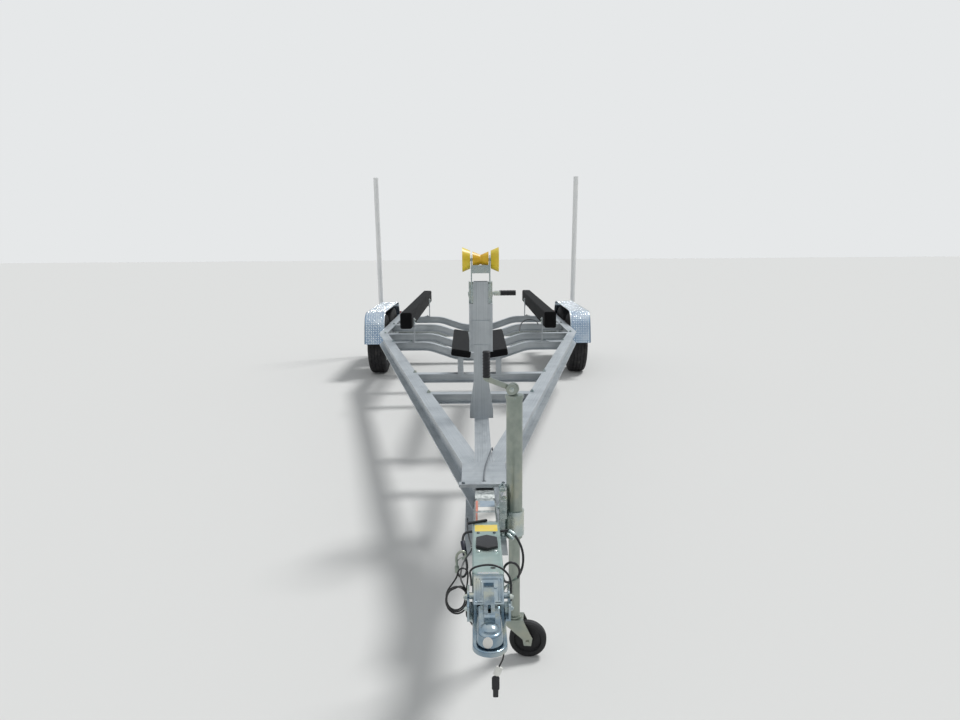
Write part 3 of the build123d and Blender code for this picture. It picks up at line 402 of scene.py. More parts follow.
def prism(bm, outline, low, high):
    """Prism of an (x, y) outline between two heights."""
    close_rings(bm, [[bm.verts.new((x, y, z)) for x, y in outline] for z in (low, high)])


def slab(bm, low, high):
    """Box between two corners."""
    outline = [(low[0], low[1]), (high[0], low[1]), (high[0], high[1]), (low[0], high[1])]
    prism(bm, outline, low[2], high[2])


def tube_curve(name, points, radius, key, sides=4):
    """Round bar or cord on one NURBS spline through the route's control points."""
    data = bpy.data.curves.new(name, "CURVE")
    data.dimensions = "3D"
    data.bevel_depth = radius
    data.bevel_resolution = sides
    data.resolution_u = 10
    data.use_fill_caps = True
    spline = data.splines.new("NURBS")
    spline.points.add(len(points) - 1)
    for point, at in zip(spline.points, points):
        point.co = (*at, 1.0)
    spline.order_u = 3
    spline.use_endpoint_u = True
    return link(name, data, key)


def bent_bar(name, points, radius, key, sides=4):
    """Bent bar or hose as a mesh."""
    return link(name, plain_mesh(tube_curve(name + "_line", points, radius, key, sides)), key)


def toward(start, end):
    """Matrix that puts local X on the line from start to end."""
    start, end = Vector(start), Vector(end)
    return Matrix.Translation(start) @ (end - start).to_track_quat("X", "Z").to_matrix().to_4x4()


# Geometry Nodes

def placing_tree(name, build):
    """Sets the piece that build makes on every point, by the point's own facing, size and spin."""
    tree = bpy.data.node_groups.new(name, "GeometryNodeTree")
    for way, label in (("INPUT", "Geometry"), ("OUTPUT", "Geometry"), ("INPUT", "Material")):
        tree.interface.new_socket(label, in_out=way, socket_type="NodeSocket" + label)
    given = node(tree, "NodeGroupInput").outputs

    def read(label, kind):
        return node(tree, "GeometryNodeInputNamedAttribute", {"Name": label}, data_type=kind).outputs[0]
    aim = {"Vector": read("facing", "FLOAT_VECTOR")}
    facing = node(tree, "FunctionNodeAlignRotationToVector", aim, axis="Z").outputs[0]
    about = node(tree, "ShaderNodeCombineXYZ", {"Z": read("spin", "FLOAT")}).outputs[0]
    spin = node(tree, "FunctionNodeEulerToRotation", {"Euler": about}).outputs[0]
    both = {"Rotation": facing, "Rotate By": spin}
    turn = node(tree, "FunctionNodeRotateRotation", both, rotation_space="LOCAL").outputs[0]
    points = node(tree, "GeometryNodeMeshToPoints", {"Mesh": given["Geometry"]}).outputs[0]
    size = read("size", "FLOAT_VECTOR")
    inputs = {"Points": points, "Instance": build(tree), "Rotation": turn, "Scale": size}
    placed = node(tree, "GeometryNodeInstanceOnPoints", inputs).outputs[0]
    real = node(tree, "GeometryNodeRealizeInstances", {"Geometry": placed}).outputs[0]
    painted = {"Geometry": real, "Material": given["Material"]}
    node(tree, "NodeGroupOutput", {"Geometry": node(tree, "GeometryNodeSetMaterial", painted).outputs[0]})
    return tree


def moved(tree, geometry, **how):
    """Transform node on a geometry; how holds its Translation or Scale."""
    return node(tree, "GeometryNodeTransform", {"Geometry": geometry, **how}).outputs[0]


def hex_bolt(tree):
    """Washer, hex head and the bolt's end, one unit across the flats."""
    bolt = node(tree, "GeometryNodeJoinGeometry")
    # sides, radius, depth, lower face
    for sides, radius, depth, low in ((20, 0.72, 0.12, 0.0), (6, 0.577, 0.42, 0.12), (12, 0.30, 0.30, 0.51)):
        inputs = {"Vertices": sides, "Radius": radius, "Depth": depth}
        part = node(tree, "GeometryNodeMeshCylinder", inputs).outputs["Mesh"]
        tree.links.new(moved(tree, part, Translation=(0, 0, low + depth / 2)), bolt.inputs[0])
    return bolt.outputs[0]


def ball(tree, segments, rings, radius):
    """Sphere that the domed pieces are scaled from."""
    inputs = {"Segments": segments, "Rings": rings, "Radius": radius}
    return node(tree, "GeometryNodeMeshUVSphere", inputs).outputs["Mesh"]


def round_head(tree):
    """Low domed head, one unit across."""
    return moved(tree, ball(tree, 16, 10, 0.5), Scale=(1, 1, 0.7))


def lozenge(tree):
    """Lens-shaped bar of unit half length, width and height."""
    return ball(tree, 10, 6, 1.0)


TREES = {
    "hex": placing_tree("hex_bolts", hex_bolt),
    "round": placing_tree("round_heads", round_head),
    "lozenge": placing_tree("tread_lozenges", lozenge),
}


def scatter(name, key, kind, rows, slot="zinc_steel", body="frame"):
    """One piece of many small ones; a row is (place, facing, size, spin)."""
    data = bpy.data.meshes.new(name)
    data.from_pydata([row[0] for row in rows], [], [])
    for column, label in enumerate(("facing", "size"), 1):
        data.attributes.new(label, "FLOAT_VECTOR", "POINT")
        data.attributes[label].data.foreach_set("vector", [part for row in rows for part in row[column]])
    data.attributes.new("spin", "FLOAT", "POINT")
    data.attributes["spin"].data.foreach_set("value", [row[3] for row in rows])
    base = link(name + "_points", data)
    grow = base.modifiers.new("grow", "NODES")
    grow.node_group = TREES[kind]
    for socket in TREES[kind].interface.items_tree:
        if socket.name == "Material":
            grow[socket.identifier] = MATERIALS[key]
    made = link(name, plain_mesh(base))
    shade(made.data, 35)
    return seat(made, slot, body)


def bolts(name, key, rows, kind="hex", body="frame"):
    """Bolts of one finish; a row is (place, facing, size across flats)."""
    placed = [(p, f, (s, s, s), 0.7 * at) for at, (p, f, s) in enumerate(rows)]
    return scatter(name, key, kind, placed, body=body)


UP, DOWN = (0, 0, 1), (0, 0, -1)
RIGHT, LEFT = (1, 0, 0), (-1, 0, 0)
FORWARD, BACK = (0, -1, 0), (0, 1, 0)


def both_sides(rows):
    """The rows and their mirror images across the centre line."""
    return rows + [((-p[0], p[1], p[2]), (-f[0], f[1], f[2]), s) for p, f, s in rows]


# Camera, floor and light

def set_camera():
    """Focal length 720 px on a 960 px frame, 1.5 m up, looking 9.23 degrees down the trailer."""
    data = bpy.data.cameras.new("camera")
    data.sensor_width = 36.0
    data.lens = 27.0
    data.clip_end = 200.0
    cam = link("camera", data)
    pitch, yaw, roll = math.radians(9.23), math.radians(0.4), math.radians(-0.4)
    ahead = Vector((math.sin(yaw) * math.cos(pitch), math.cos(yaw) * math.cos(pitch), -math.sin(pitch)))
    cam.rotation_mode = "QUATERNION"
    tilt = Matrix.Rotation(roll, 3, "Z").to_quaternion()
    cam.rotation_quaternion = ahead.to_track_quat("-Z", "Y") @ tilt
    cam.location = (-0.032, -5.84, 1.50)
    bpy.context.scene.camera = cam


def set_floor():
    """Plain pale floor that catches the shadow."""
    bm = bmesh.new()
    bmesh.ops.create_grid(bm, x_segments=1, y_segments=1, size=60.0)
    data = bpy.data.meshes.new("floor")
    bm.to_mesh(data)
    bm.free()
    floor = link("floor", data)
    made = bpy.data.materials.new("pale_floor")
    made.use_nodes = True
    tree = made.node_tree
    tree.nodes.clear()
    matt = node(tree, "ShaderNodeBsdfDiffuse", {"Color": linear("dcdcda")}).outputs[0]
    node(tree, "ShaderNodeOutputMaterial", {"Surface": matt})
    data.materials.append(made)


def set_light():
    """Even sky, a darker horizon for the metal to reflect, and a broad soft sun from behind on the right."""
    world = bpy.data.worlds.new("studio")
    bpy.context.scene.world = world
    world.use_nodes = True
    tree = world.node_tree
    tree.nodes.clear()
    ways = node(tree, "ShaderNodeTexCoord").outputs["Generated"]
    height = node(tree, "ShaderNodeSeparateXYZ", {"Vector": ways}).outputs["Z"]
    stops = [(0.0, "8b8d8c"), (0.03, "6f7674"), (0.14, "a8b1b8"), (0.5, "dfe6ec"), (1.0, "ffffff")]
    glows = ((shades(tree, height, *stops), 1.0), (linear("e6e8e9"), 1.0), (linear("f2f5f8"), 0.55))
    seen, back, fill = [
        node(tree, "ShaderNodeBackground", {"Color": colour, "Strength": strength}).outputs[0]
        for colour, strength in glows
    ]
    path = node(tree, "ShaderNodeLightPath").outputs
    mirror = maths(tree, "MAXIMUM", path["Is Glossy Ray"], path["Is Transmission Ray"])
    first = node(tree, "ShaderNodeMixShader", {0: mirror, 1: fill, 2: seen}).outputs[0]
    second = node(tree, "ShaderNodeMixShader", {0: path["Is Camera Ray"], 1: first, 2: back}).outputs[0]
    node(tree, "ShaderNodeOutputWorld", {"Surface": second})
    lamp = bpy.data.lights.new("sun", "SUN")
    lamp.energy = 2.0
    lamp.angle = math.radians(14)
    sun = link("sun", lamp)
    sun.rotation_mode = "QUATERNION"
    sun.rotation_quaternion = Vector((-0.42, -0.34, -0.84)).to_track_quat("-Z", "Y")
    bpy.context.scene.view_settings.view_transform = "Standard"


# Cords, on the source's own routes

SAFETY_RIGHT = [
    (0.0455, -3.575, 0.556), (0.060, -3.575, 0.557), (0.073, -3.581, 0.562), (0.087, -3.592, 0.558),
    (0.103, -3.602, 0.540), (0.116, -3.612, 0.515), (0.121, -3.622, 0.487), (0.118, -3.634, 0.459),
    (0.107, -3.646, 0.436), (0.091, -3.658, 0.423), (0.073, -3.670, 0.421), (0.057, -3.684, 0.431),
    (0.050, -3.697, 0.453), (0.050, -3.708, 0.479), (0.057, -3.715, 0.502), (0.072, -3.718, 0.514),
    (0.089, -3.717, 0.509), (0.101, -3.713, 0.493), (0.104, -3.709, 0.472), (0.097, -3.706, 0.453),
    (0.083, -3.704, 0.441),
]
SAFETY_LEFT = [
    (-0.0455, -3.575, 0.556), (-0.0695, -3.575, 0.556), (-0.079, -3.600, 0.541), (-0.073, -3.628, 0.510),
    (-0.063, -3.653, 0.481), (-0.063, -3.677, 0.463), (-0.072, -3.699, 0.456), (-0.086, -3.713, 0.464),
    (-0.094, -3.720, 0.482), (-0.094, -3.722, 0.502),
]
BREAKAWAY = [
    (-0.0486, -3.846, 0.502), (-0.0487, -3.868, 0.527), (-0.050, -3.890, 0.553), (-0.053, -3.903, 0.572),
    (-0.040, -3.911, 0.589), (-0.008, -3.917, 0.599), (0.020, -3.919, 0.598), (0.042, -3.921, 0.588),
    (0.058, -3.927, 0.573), (0.065, -3.937, 0.556), (0.0635, -3.950, 0.530), (0.0623, -3.970, 0.497),
]
WIRING_LEAD = [
    (-0.066, -3.262, 0.475), (-0.066, -3.300, 0.475), (-0.066, -3.347, 0.487), (-0.064, -3.400, 0.494),
    (-0.061, -3.457, 0.500), (-0.057, -3.516, 0.507), (-0.052, -3.574, 0.517), (-0.0483, -3.632, 0.529),
    (-0.0483, -3.690, 0.541), (-0.057, -3.740, 0.550), (-0.070, -3.785, 0.551), (-0.079, -3.820, 0.538),
    (-0.080, -3.850, 0.521),
]
WIRING_TAIL = [
    (-0.065, -3.902, 0.440), (-0.055, -3.898, 0.420), (-0.039, -3.898, 0.396), (-0.016, -3.899, 0.377),
    (0.013, -3.901, 0.362), (0.034, -3.903, 0.347), (0.045, -3.904, 0.326), (0.044, -3.904, 0.303),
    (0.035, -3.904, 0.283), (0.025, -3.904, 0.264), (0.021, -3.904, 0.245),
]


def coil_points():
    """Loose turns of the lead, taller than wide, each of its own size, with a bight up beside the slide."""
    # start angle, end angle, centre x and z, half width, half height, first y, last y
    turns = [
        (45, -235, -0.0912, 0.4816, 0.0312, 0.046, -3.876, -3.884),
        (5, -290, -0.0935, 0.4807, 0.0272, 0.0345, -3.888, -3.8915),
        (70, -385, -0.0895, 0.483, 0.033, 0.044, -3.8925, -3.9055),
    ]
    bight = [
        (-0.102, -3.885, 0.528), (-0.095, -3.885, 0.5385), (-0.0895, -3.885, 0.549), (-0.0867, -3.885, 0.560),
        (-0.0839, -3.885, 0.5685), (-0.0767, -3.885, 0.5738), (-0.0677, -3.885, 0.5738),
        (-0.0605, -3.885, 0.5685), (-0.0577, -3.885, 0.560), (-0.058, -3.886, 0.548),
        (-0.059, -3.887, 0.535), (-0.061, -3.888, 0.518), (-0.064, -3.888, 0.501),
    ]
    points = []
    for turn, (begin, end, x, z, half_x, half_z, first_y, last_y) in enumerate(turns):
        count = round((begin - end) / 27)
        for step in range(count):
            part = step / count
            angle = math.radians(begin + (end - begin) * part)
            y = first_y + (last_y - first_y) * part
            points.append((x + half_x * math.cos(angle), y, z + half_z * math.sin(angle)))
        if turn == 0:
            points += bight
    return points


def lay_cords():
    """The four cords, each with the pieces at its free end."""
    lead = WIRING_LEAD + coil_points() + WIRING_TAIL
    # name, route, diameter, length, far end, stiffness, lay, nodes that it replaces, pieces at its end
    rows = [
        ("safety_cable_right", SAFETY_RIGHT, 0.008, 0.454, "fitting", "stiff", "loose", ["safety_cables"],
         [cable_hook("right", SAFETY_RIGHT)]),
        ("safety_cable_left", SAFETY_LEFT, 0.008, 0.247, "fitting", "stiff", "loose", [],
         [cable_hook("left", SAFETY_LEFT)]),
        ("breakaway_line", BREAKAWAY, 0.006, 0.309, "fitting", "stiff", "loose", ["breakaway_cable"],
         [ring_terminal()]),
        ("wiring_harness", lead, 0.005, 1.73, "plug", "medium", "hanging", ["wiring_lead", "wiring_coil"],
         [plug_piece(), plug_sleeve()]),
    ]
    for name, route, diameter, length, far, stiff, lay, replaced, pieces in rows:
        made = tube_curve(name, route, diameter / 2, "vinyl")
        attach(made, "frame")
        if replaced:
            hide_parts(*replaced)


def route_end(route):
    """Last place of a route and the direction that leads there."""
    end = Vector(route[-1])
    return end, (end - Vector(route[-2])).normalized()


def cable_hook(side, route):
    """Pressed ferrule on the cable's end, with a bent wire hook and its spring latch."""
    end, along = route_end(route)
    across = along.cross(Vector((0, 1, 0))).normalized() * (1 if side == "left" else -1)
    profile = [(-0.020, 0.0042), (-0.020, 0.0062), (-0.018, 0.0068)]
    profile += [(0.001, 0.0068), (0.003, 0.0058), (0.003, 0.001)]
    made = turned("cable_hook_" + side, profile, toward(end, end + along), 20, "jack")
    # name, radius, sides, then distances along the cable's line and across it
    wires = [
        ("hook_", 0.004, 5, [
            (0.000, 0.0), (0.012, 0.0), (0.026, 0.002), (0.040, 0.000), (0.052, -0.009), (0.054, -0.022),
            (0.044, -0.030), (0.032, -0.026), (0.027, -0.017)]),
        ("latch_", 0.0016, 3, [(0.018, -0.001), (0.026, -0.006), (0.034, -0.020), (0.034, -0.026)]),
    ]
    bm = bmesh.new()
    bm.from_mesh(made.data)
    for name, radius, sides, bend in wires:
        wire = bent_bar(name + side, [end + along * a + across * b for a, b in bend], radius, "zinc", sides)
        bm.from_mesh(wire.data)
        bpy.data.objects.remove(wire)
    bm.to_mesh(made.data)
    bm.free()
    return seat(made)


def sleeve(name, start, end, radius, key, slot="zinc_steel"):
    """Short round-ended tube on a stretch of cord."""
    length = (Vector(end) - Vector(start)).length
    lip = min(0.002, length * 0.2)
    inner, edge = radius * 0.6, radius - lip * 0.6
    profile = [
        (0.0, inner), (0.0, edge), (lip, radius), (length - lip, radius), (length, edge), (length, inner),
    ]
    return seat(turned(name, profile, toward(start, end), 24, key), slot)


def cable_fittings():
    """Ferrules and a navy sleeve on the safety cables, and the clip that holds the harness to the slide."""
    # name, start, end, radius, material, and the slot where it isn't zinc-plated steel
    rows = [
        ("ferrule_upper", (0.0762, -3.583, 0.5625), (0.0965, -3.5965, 0.550), 0.0062, "zinc"),
        ("ferrule_lower", (0.070, -3.589, 0.554), (0.090, -3.603, 0.540), 0.0058, "zinc"),
        ("cable_sleeve", (-0.0775, -3.605, 0.536), (-0.069, -3.637, 0.5005), 0.008, "navy", "black_rubber"),
        ("harness_clip", (-0.0483, -3.653, 0.5325), (-0.0483, -3.665, 0.5352), 0.004, "zinc"),
    ]
    for row in rows:
        sleeve(*row)
    bolts("clip_screw", "zinc", [((-0.0455, -3.6585, 0.544), LEFT, 0.008)], "round")


def ring_terminal():
    """Crimped lug that ends the breakaway cable on the coupler's ear."""
    end, along = route_end(BREAKAWAY)
    profile = [(-0.016, 0.003), (-0.016, 0.0036), (0.003, 0.0036), (0.005, 0.0028), (0.005, 0.0004)]
    return seat(turned("breakaway_terminal", profile, toward(end, end + along), 18, "zinc"))


def plug_piece():
    """Flat four-way trailer plug: ribbed grip and moulded body."""
    low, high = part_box("wiring_plug")
    x, y = (low.x + high.x) / 2, (low.y + high.y) / 2
    # height, half width and half depth of each section
    sections = [(high.z, 0.006, 0.0035), (high.z - 0.003, 0.0098, 0.0048)]
    for rib in range(6):
        z = high.z - 0.006 - rib * 0.006
        sections += [(z, 0.0115, 0.005), (z - 0.003, 0.0115, 0.005)]
        sections += [(z - 0.0034, 0.0106, 0.0045), (z - 0.0056, 0.0106, 0.0045)]
    sections += [(high.z - 0.0425, 0.0082, 0.004), (low.z + 0.002, 0.008, 0.004), (low.z, 0.0072, 0.0034)]
    bm = bmesh.new()
    rings = []
    for z, w, d in sections:
        ring = []
        for step in range(24):
            angle = math.tau * step / 24
            px = math.copysign(abs(math.cos(angle)) ** 0.5, math.cos(angle)) * w
            py = math.copysign(abs(math.sin(angle)) ** 0.5, math.sin(angle)) * d
            ring.append(bm.verts.new((x + px, y + py, z)))
        rings.append(ring)
    close_rings(bm, rings)
    return seat(mesh_from("harness_plug", bm, "plastic", 40), "black_plastic", "frame", "wiring_plug")


def plug_sleeve():
    """White tag wrapped flat round the wire above the plug."""
    start, end = Vector((0.034, -3.904, 0.276)), Vector((0.0215, -3.904, 0.247))
    length = (end - start).length
    profile = [(0.0, 0.0035), (0.002, 0.0105), (length - 0.003, 0.011), (length, 0.006)]
    turn = (end - start).to_track_quat("X", "Y").to_matrix().to_4x4()
    flat = Matrix.Diagonal((1, 1, 0.36, 1))
    place = Matrix.Translation(start) @ turn @ flat
    return seat(turned("harness_tag", profile, place, 24, "white_sheath"), "black_plastic")


# Running gear

TYRE_CROWN = 0.0042
LUG_CIRCLE_R = 0.0572


def wheels():
    """The four wheels as (name, side of the centre line, Y of the axle)."""
    return [(f"{row}_{side}", sign, y) for row, y in AXLE_Y.items() for side, sign in SIDES]


def tyre_profile():
    """(across, radius) round a tyre's skin: five ribs, shoulders, side walls and beads."""
    def crown(x):
        return WHEEL_R - TYRE_CROWN * (x / 0.072) ** 2
    points = [(-0.077, 0.191), (-0.079, 0.206), (-0.088, 0.213), (-0.096, 0.232), (-0.1022, 0.262)]
    points += [(-0.1015, 0.284), (-0.098, 0.300), (-0.0995, 0.3015), (-0.0985, 0.304), (-0.094, 0.321)]
    points += [(-0.087, 0.3325), (-0.078, crown(0.076))]
    for centre in (-0.0545, -0.0185, 0.0185, 0.0545):
        for dx, sink in ((-0.0045, 0), (-0.003, 0.0075), (0.003, 0.0075), (0.0045, 0)):
            points.append((centre + dx, crown(centre + dx) - sink))
    return points + [(-x, r) for x, r in reversed(points[:12])]


def make_tyres():
    """Treaded tyres, in place of the plain ones."""
    profile = tyre_profile()
    for name, sign, y in wheels():
        bm = bmesh.new()
        lathe(bm, profile, Matrix.Translation((sign * WHEEL_X, y, WHEEL_R)), 132)
        made = mesh_from("tread_tyre_" + name, bm, "tyre", 32)
        seat(made, "tyre_rubber", "wheel_" + name, "tyre_" + name)


def make_wheel_fasteners():
    """Five lug nuts on each rim."""
    for name, sign, y in wheels():
        rows = []
        for step in range(5):
            angle = math.tau * step / 5 + math.pi / 2
            across, up = LUG_CIRCLE_R * math.cos(angle), LUG_CIRCLE_R * math.sin(angle)
            rows.append(((sign * WHEEL_X, y + across, WHEEL_R + up), (sign, 0, 0), 0.020))
        bolts("lug_nuts_" + name, "zinc", rows, body="wheel_" + name)


# Fender tread

FENDER_IN, FENDER_OUT = 1.042, 1.270
FENDER_FOOT = (2.130, 3.890)
FENDER_SHOULDER = (2.215, 3.805)
FENDER_Z, FENDER_LOW, FENDER_R = 0.737, 0.390, 0.170
LOZENGE = (0.0115, 0.0036, 0.0017)
LOZENGE_PITCH = 0.0265


def fender_path():
    """Points of the fender's side line, its two bends as arcs, in the YZ plane."""
    corners = [
        Vector((0, FENDER_FOOT[0], FENDER_LOW)), Vector((0, FENDER_SHOULDER[0], FENDER_Z)),
        Vector((0, FENDER_SHOULDER[1], FENDER_Z)), Vector((0, FENDER_FOOT[1], FENDER_LOW)),
    ]
    points = [corners[0]]
    for before, at, after in zip(corners, corners[1:], corners[2:]):
        a, b = (before - at).normalized(), (after - at).normalized()
        half = a.angle(b) / 2
        reach = FENDER_R / math.tan(half)
        centre = at + (a + b).normalized() * (FENDER_R / math.sin(half))
        first, last = at + a * reach, at + b * reach
        begin = math.atan2(first.z - centre.z, first.y - centre.y)
        end = math.atan2(last.z - centre.z, last.y - centre.y)
        for step in range(17):
            angle = begin + (end - begin) * step / 16
            points.append(centre + FENDER_R * Vector((0, math.cos(angle), math.sin(angle))))
    points.append(corners[-1])
    return points


def fender_lozenges(sign):
    """Rows of lozenges over the band, and over the skirt between its edge and the cut-outs."""
    rows = []

    def add(place, facing, count):
        rows.append((place, facing, LOZENGE, math.pi / 4 * (1 if count % 2 else -1)))
    path = fender_path()
    walked, due, count = 0.0, 0.012, 0
    for a, b in zip(path, path[1:]):
        along = (b - a).normalized()
        out = Vector((0, -along.z, along.y))
        while due <= walked + (b - a).length:
            at = a + along * (due - walked)
            for column in range(8):
                x = sign * (FENDER_IN + 0.0135 + LOZENGE_PITCH * column)
                add((x, at.y, at.z), out, count + column)
            count += 1
            due += LOZENGE_PITCH
        walked += (b - a).length
    for column in range(66):
        for row in range(13):
            y = FENDER_FOOT[0] + 0.02 + LOZENGE_PITCH * column
            spot = Vector((0, y, FENDER_LOW + 0.014 + LOZENGE_PITCH * row))
            if skirt_covers(spot, path):
                add((sign * FENDER_OUT, spot.y, spot.z), (sign, 0, 0), row + column)
    return rows


def skirt_covers(spot, path):
    """Whether a place lies on the skirt's plate, clear of its edges."""
    if any((spot - Vector((0, y, WHEEL_R))).length < WHEEL_R + 0.044 for y in AXLE_Y.values()):
        return False
    if FENDER_SHOULDER[0] + 0.026 < spot.y < FENDER_SHOULDER[1] - 0.026 and spot.z < 0.484:
        return False
    nearest = None
    for a, b in zip(path, path[1:]):
        along = (b - a).normalized()
        reach = min(max((spot - a).dot(along), 0.0), (b - a).length)
        gap = spot - (a + along * reach)
        if nearest is None or gap.length < nearest[0]:
            nearest = (gap.length, gap.dot(Vector((0, -along.z, along.y))))
    return nearest[1] < -0.034


def make_fender_tread():
    """Lozenges of the tread plate, and the rolled bead on the fender's inner edge, both painted near white as
    highlights.
    """
    for side, sign in SIDES:
        # Lozenges and bead both take the near-white material, a painted highlight.
        scatter("fender_tread_" + side, "lozenge", "lozenge", fender_lozenges(sign), "tread_plate")
        line = [(sign * (FENDER_IN + 0.002), at.y, at.z - 0.001) for at in fender_path()]
        seat(bent_bar("fender_edge_highlight_" + side, line, 0.0036, "lozenge"), "tread_plate")


# Bunks

def soft_oblong(width, thick, radius):
    """Outline of a board's section, its corners rounded."""
    outline = []
    for cx, cy, begin in ((1, 1, 0), (-1, 1, 90), (-1, -1, 180), (1, -1, 270)):
        for step in range(6):
            angle = math.radians(begin + 18 * step)
            u = cx * (width / 2 - radius) + radius * math.cos(angle)
            outline.append((u, cy * (thick / 2 - radius) + radius * math.sin(angle)))
    return outline


def carpet_board(replaced, start, end, width, thick, radius, tilt):
    """Board wrapped in carpet: soft corners, an uneven face and folded ends."""
    start, end = Vector(start), Vector(end)
    along = (end - start).normalized()
    level = along.cross(Vector((0, 0, 1))).normalized()
    up = level.cross(along).normalized()
    turn = math.radians(tilt)
    across = level * math.cos(turn) + up * math.sin(turn)
    rise = up * math.cos(turn) - level * math.sin(turn)
    outline = soft_oblong(width, thick, radius)
    length = (end - start).length
    steps = max(12, int(length / 0.03))
    # distance along the board, share of the full section
    stations = [(0.0, 0.9), (0.002, 0.96), (0.006, 1.0)]
    stations += [(length * step / steps, 1.0) for step in range(1, steps)]
    stations += [(length - 0.006, 1.0), (length - 0.002, 0.96), (length, 0.9)]
    bm = bmesh.new()
    rings = []
    for at, size in stations:
        ring = []
        for u, v in outline:
            spot = start + along * at + across * u * size + rise * v * size
            sink = noise.noise(spot * 22) * 0.0009 + noise.noise(spot * 90) * 0.0005 - 0.0008
            out = (across * u / width + rise * v / thick).normalized()
            ring.append(bm.verts.new(spot + out * sink))
        rings.append(ring)
    close_rings(bm, rings)
    return seat(mesh_from("carpet_" + replaced, bm, "carpet", 60), "black_carpet", "frame", replaced)


def make_bunks():
    """Two long bunks on edge, and two short front ones that lie flat and lean inward."""
    # name, front and rear end on the right, width, thickness, corner radius, tilt in degrees
    rows = [
        ("bunk_", (BUNK_X, 0.710, 0.802), (BUNK_X, 3.810, 0.802), 0.108, 0.150, 0.018, 0),
        ("front_bunk_", (0.130, -0.840, 0.735), (0.165, 1.010, 0.655), 0.140, 0.050, 0.014, 9),
    ]
    for side, sign in SIDES:
        for name, (x0, y0, z0), (x1, y1, z1), width, thick, radius, tilt in rows:
            start, end = (sign * x0, y0, z0), (sign * x1, y1, z1)
            carpet_board(name + side, start, end, width, thick, radius, sign * tilt)


def frame_bolts():
    """Bolts of the cross members, the axles' pads, the bunk brackets and the tongue's top plate."""
    rows = [((0.320, -1.474, FRAME_TOP), UP, 0.019), ((0.462, -0.766, FRAME_TOP), UP, 0.019)]
    for y in (0.898, 1.538, 2.378, 3.268):
        rows.append(((0.800 if y < 1 else 0.955, y, FRAME_TOP), UP, 0.019))
    for y in AXLE_Y.values():
        for step in (-0.215, -0.065):
            for lift, facing in ((0.008, UP), (-0.008, DOWN)):
                rows += [((x, y + step, FRAME_LOW + lift), facing, 0.017) for x in (0.955, 0.998)]
    for y in (0.898, 3.268):
        rows += [((BUNK_X - 0.062, y, z), LEFT, 0.016) for z in (0.765, 0.792)]
        rows.append(((BUNK_X - 0.030, y, 0.589), UP, 0.016))
    bolts("frame_bolts", "zinc", both_sides(rows))
    plate = [((-0.080, -3.221, PLATE_TOP), UP, 0.014), ((0.072, -3.221, PLATE_TOP), UP, 0.014)]
    bolts("plate_bolts", "dark_zinc", plate, "round")


def ribbed(name, start, end, radius, ribs, body):
    """Moulded grip with round ribs along it."""
    length = (Vector(end) - Vector(start)).length
    pitch = length / ribs
    profile = [(0.0, radius * 0.55), (0.0, radius * 0.86)]
    for rib in range(ribs):
        at = pitch * rib
        # share of the rib's pitch, share of the full radius
        for share, size in ((0.10, 0.88), (0.22, 1), (0.70, 1), (0.82, 0.88)):
            profile.append((at + pitch * share, radius * size))
    profile += [(length, radius * 0.86), (length, radius * 0.55)]
    return seat(turned(name, profile, toward(start, end), 28, "plastic"), "black_plastic", body)


def make_grips():
    """Sleeves over the handles of the winch's crank and the jack's crank."""
    ribbed("winch_grip", (0.1065, -1.824, 1.225), (0.1975, -1.824, 1.225), 0.0155, 11, "winch_crank")
    ribbed("jack_grip", (0.007, -3.390, 1.040), (0.007, -3.390, 1.1335), 0.0135, 9, "frame")


def sticker(name, key, low, high):
    """Flat blank between two corners."""
    bm = bmesh.new()
    slab(bm, low, high)
    return seat(mesh_from(name, bm, key))


def make_labels():
    """Blank stickers on actuator and coupler, a black disc painted as the shade in the slide's drain hole,
    and a bright strip painted as the highlight on the slide's folded edge.
    """
    # colour, x from and to, y from and to, height of the face
    rows = [
        ("orange_label", -0.034, -0.0255, -3.436, -3.330, CASE_TOP),
        ("blue_label", -0.0185, 0.034, -3.392, -3.332, CASE_TOP),
        ("white_label", -0.0255, 0.034, -3.428, -3.394, CASE_TOP),
        ("orange_label", -0.034, -0.0275, -3.520, -3.450, CASE_TOP),
        ("white_label", -0.027, 0.034, -3.524, -3.448, CASE_TOP),
        ("yellow_label", -0.037, 0.037, -3.618, -3.564, SLIDE_TOP),
    ]
    for at, (key, x0, x1, y0, y1, z) in enumerate(rows):
        sticker(f"blank_label_{at}", key, (x0, y0, z), (x1, y1, z + LABEL_THICK))
    # A black disc painted as the shade inside the slide's drain hole.
    angles = [math.tau * step / 24 for step in range(24)]
    hole = [(0.015 + 0.008 * math.cos(a), -3.885 + 0.0055 * math.sin(a)) for a in angles]
    bm = bmesh.new()
    prism(bm, hole, SLIDE_TOP - 0.0002, SLIDE_TOP + 0.0003)
    seat(mesh_from("slide_hole_painted_shade", bm, "rubber"))
    # A bright strip painted as the highlight on the slide's folded front edge.
    sticker("slide_edge_painted_highlight", "lozenge", (-0.030, -3.9245, SLIDE_TOP), (0.030, -3.9125, SLIDE_TOP + 0.0012))
    draped_disc("nose_sticker", (-0.006, -4.191, 0.521), (0, 0.82, -0.57), 0.0127, "coupler_head")


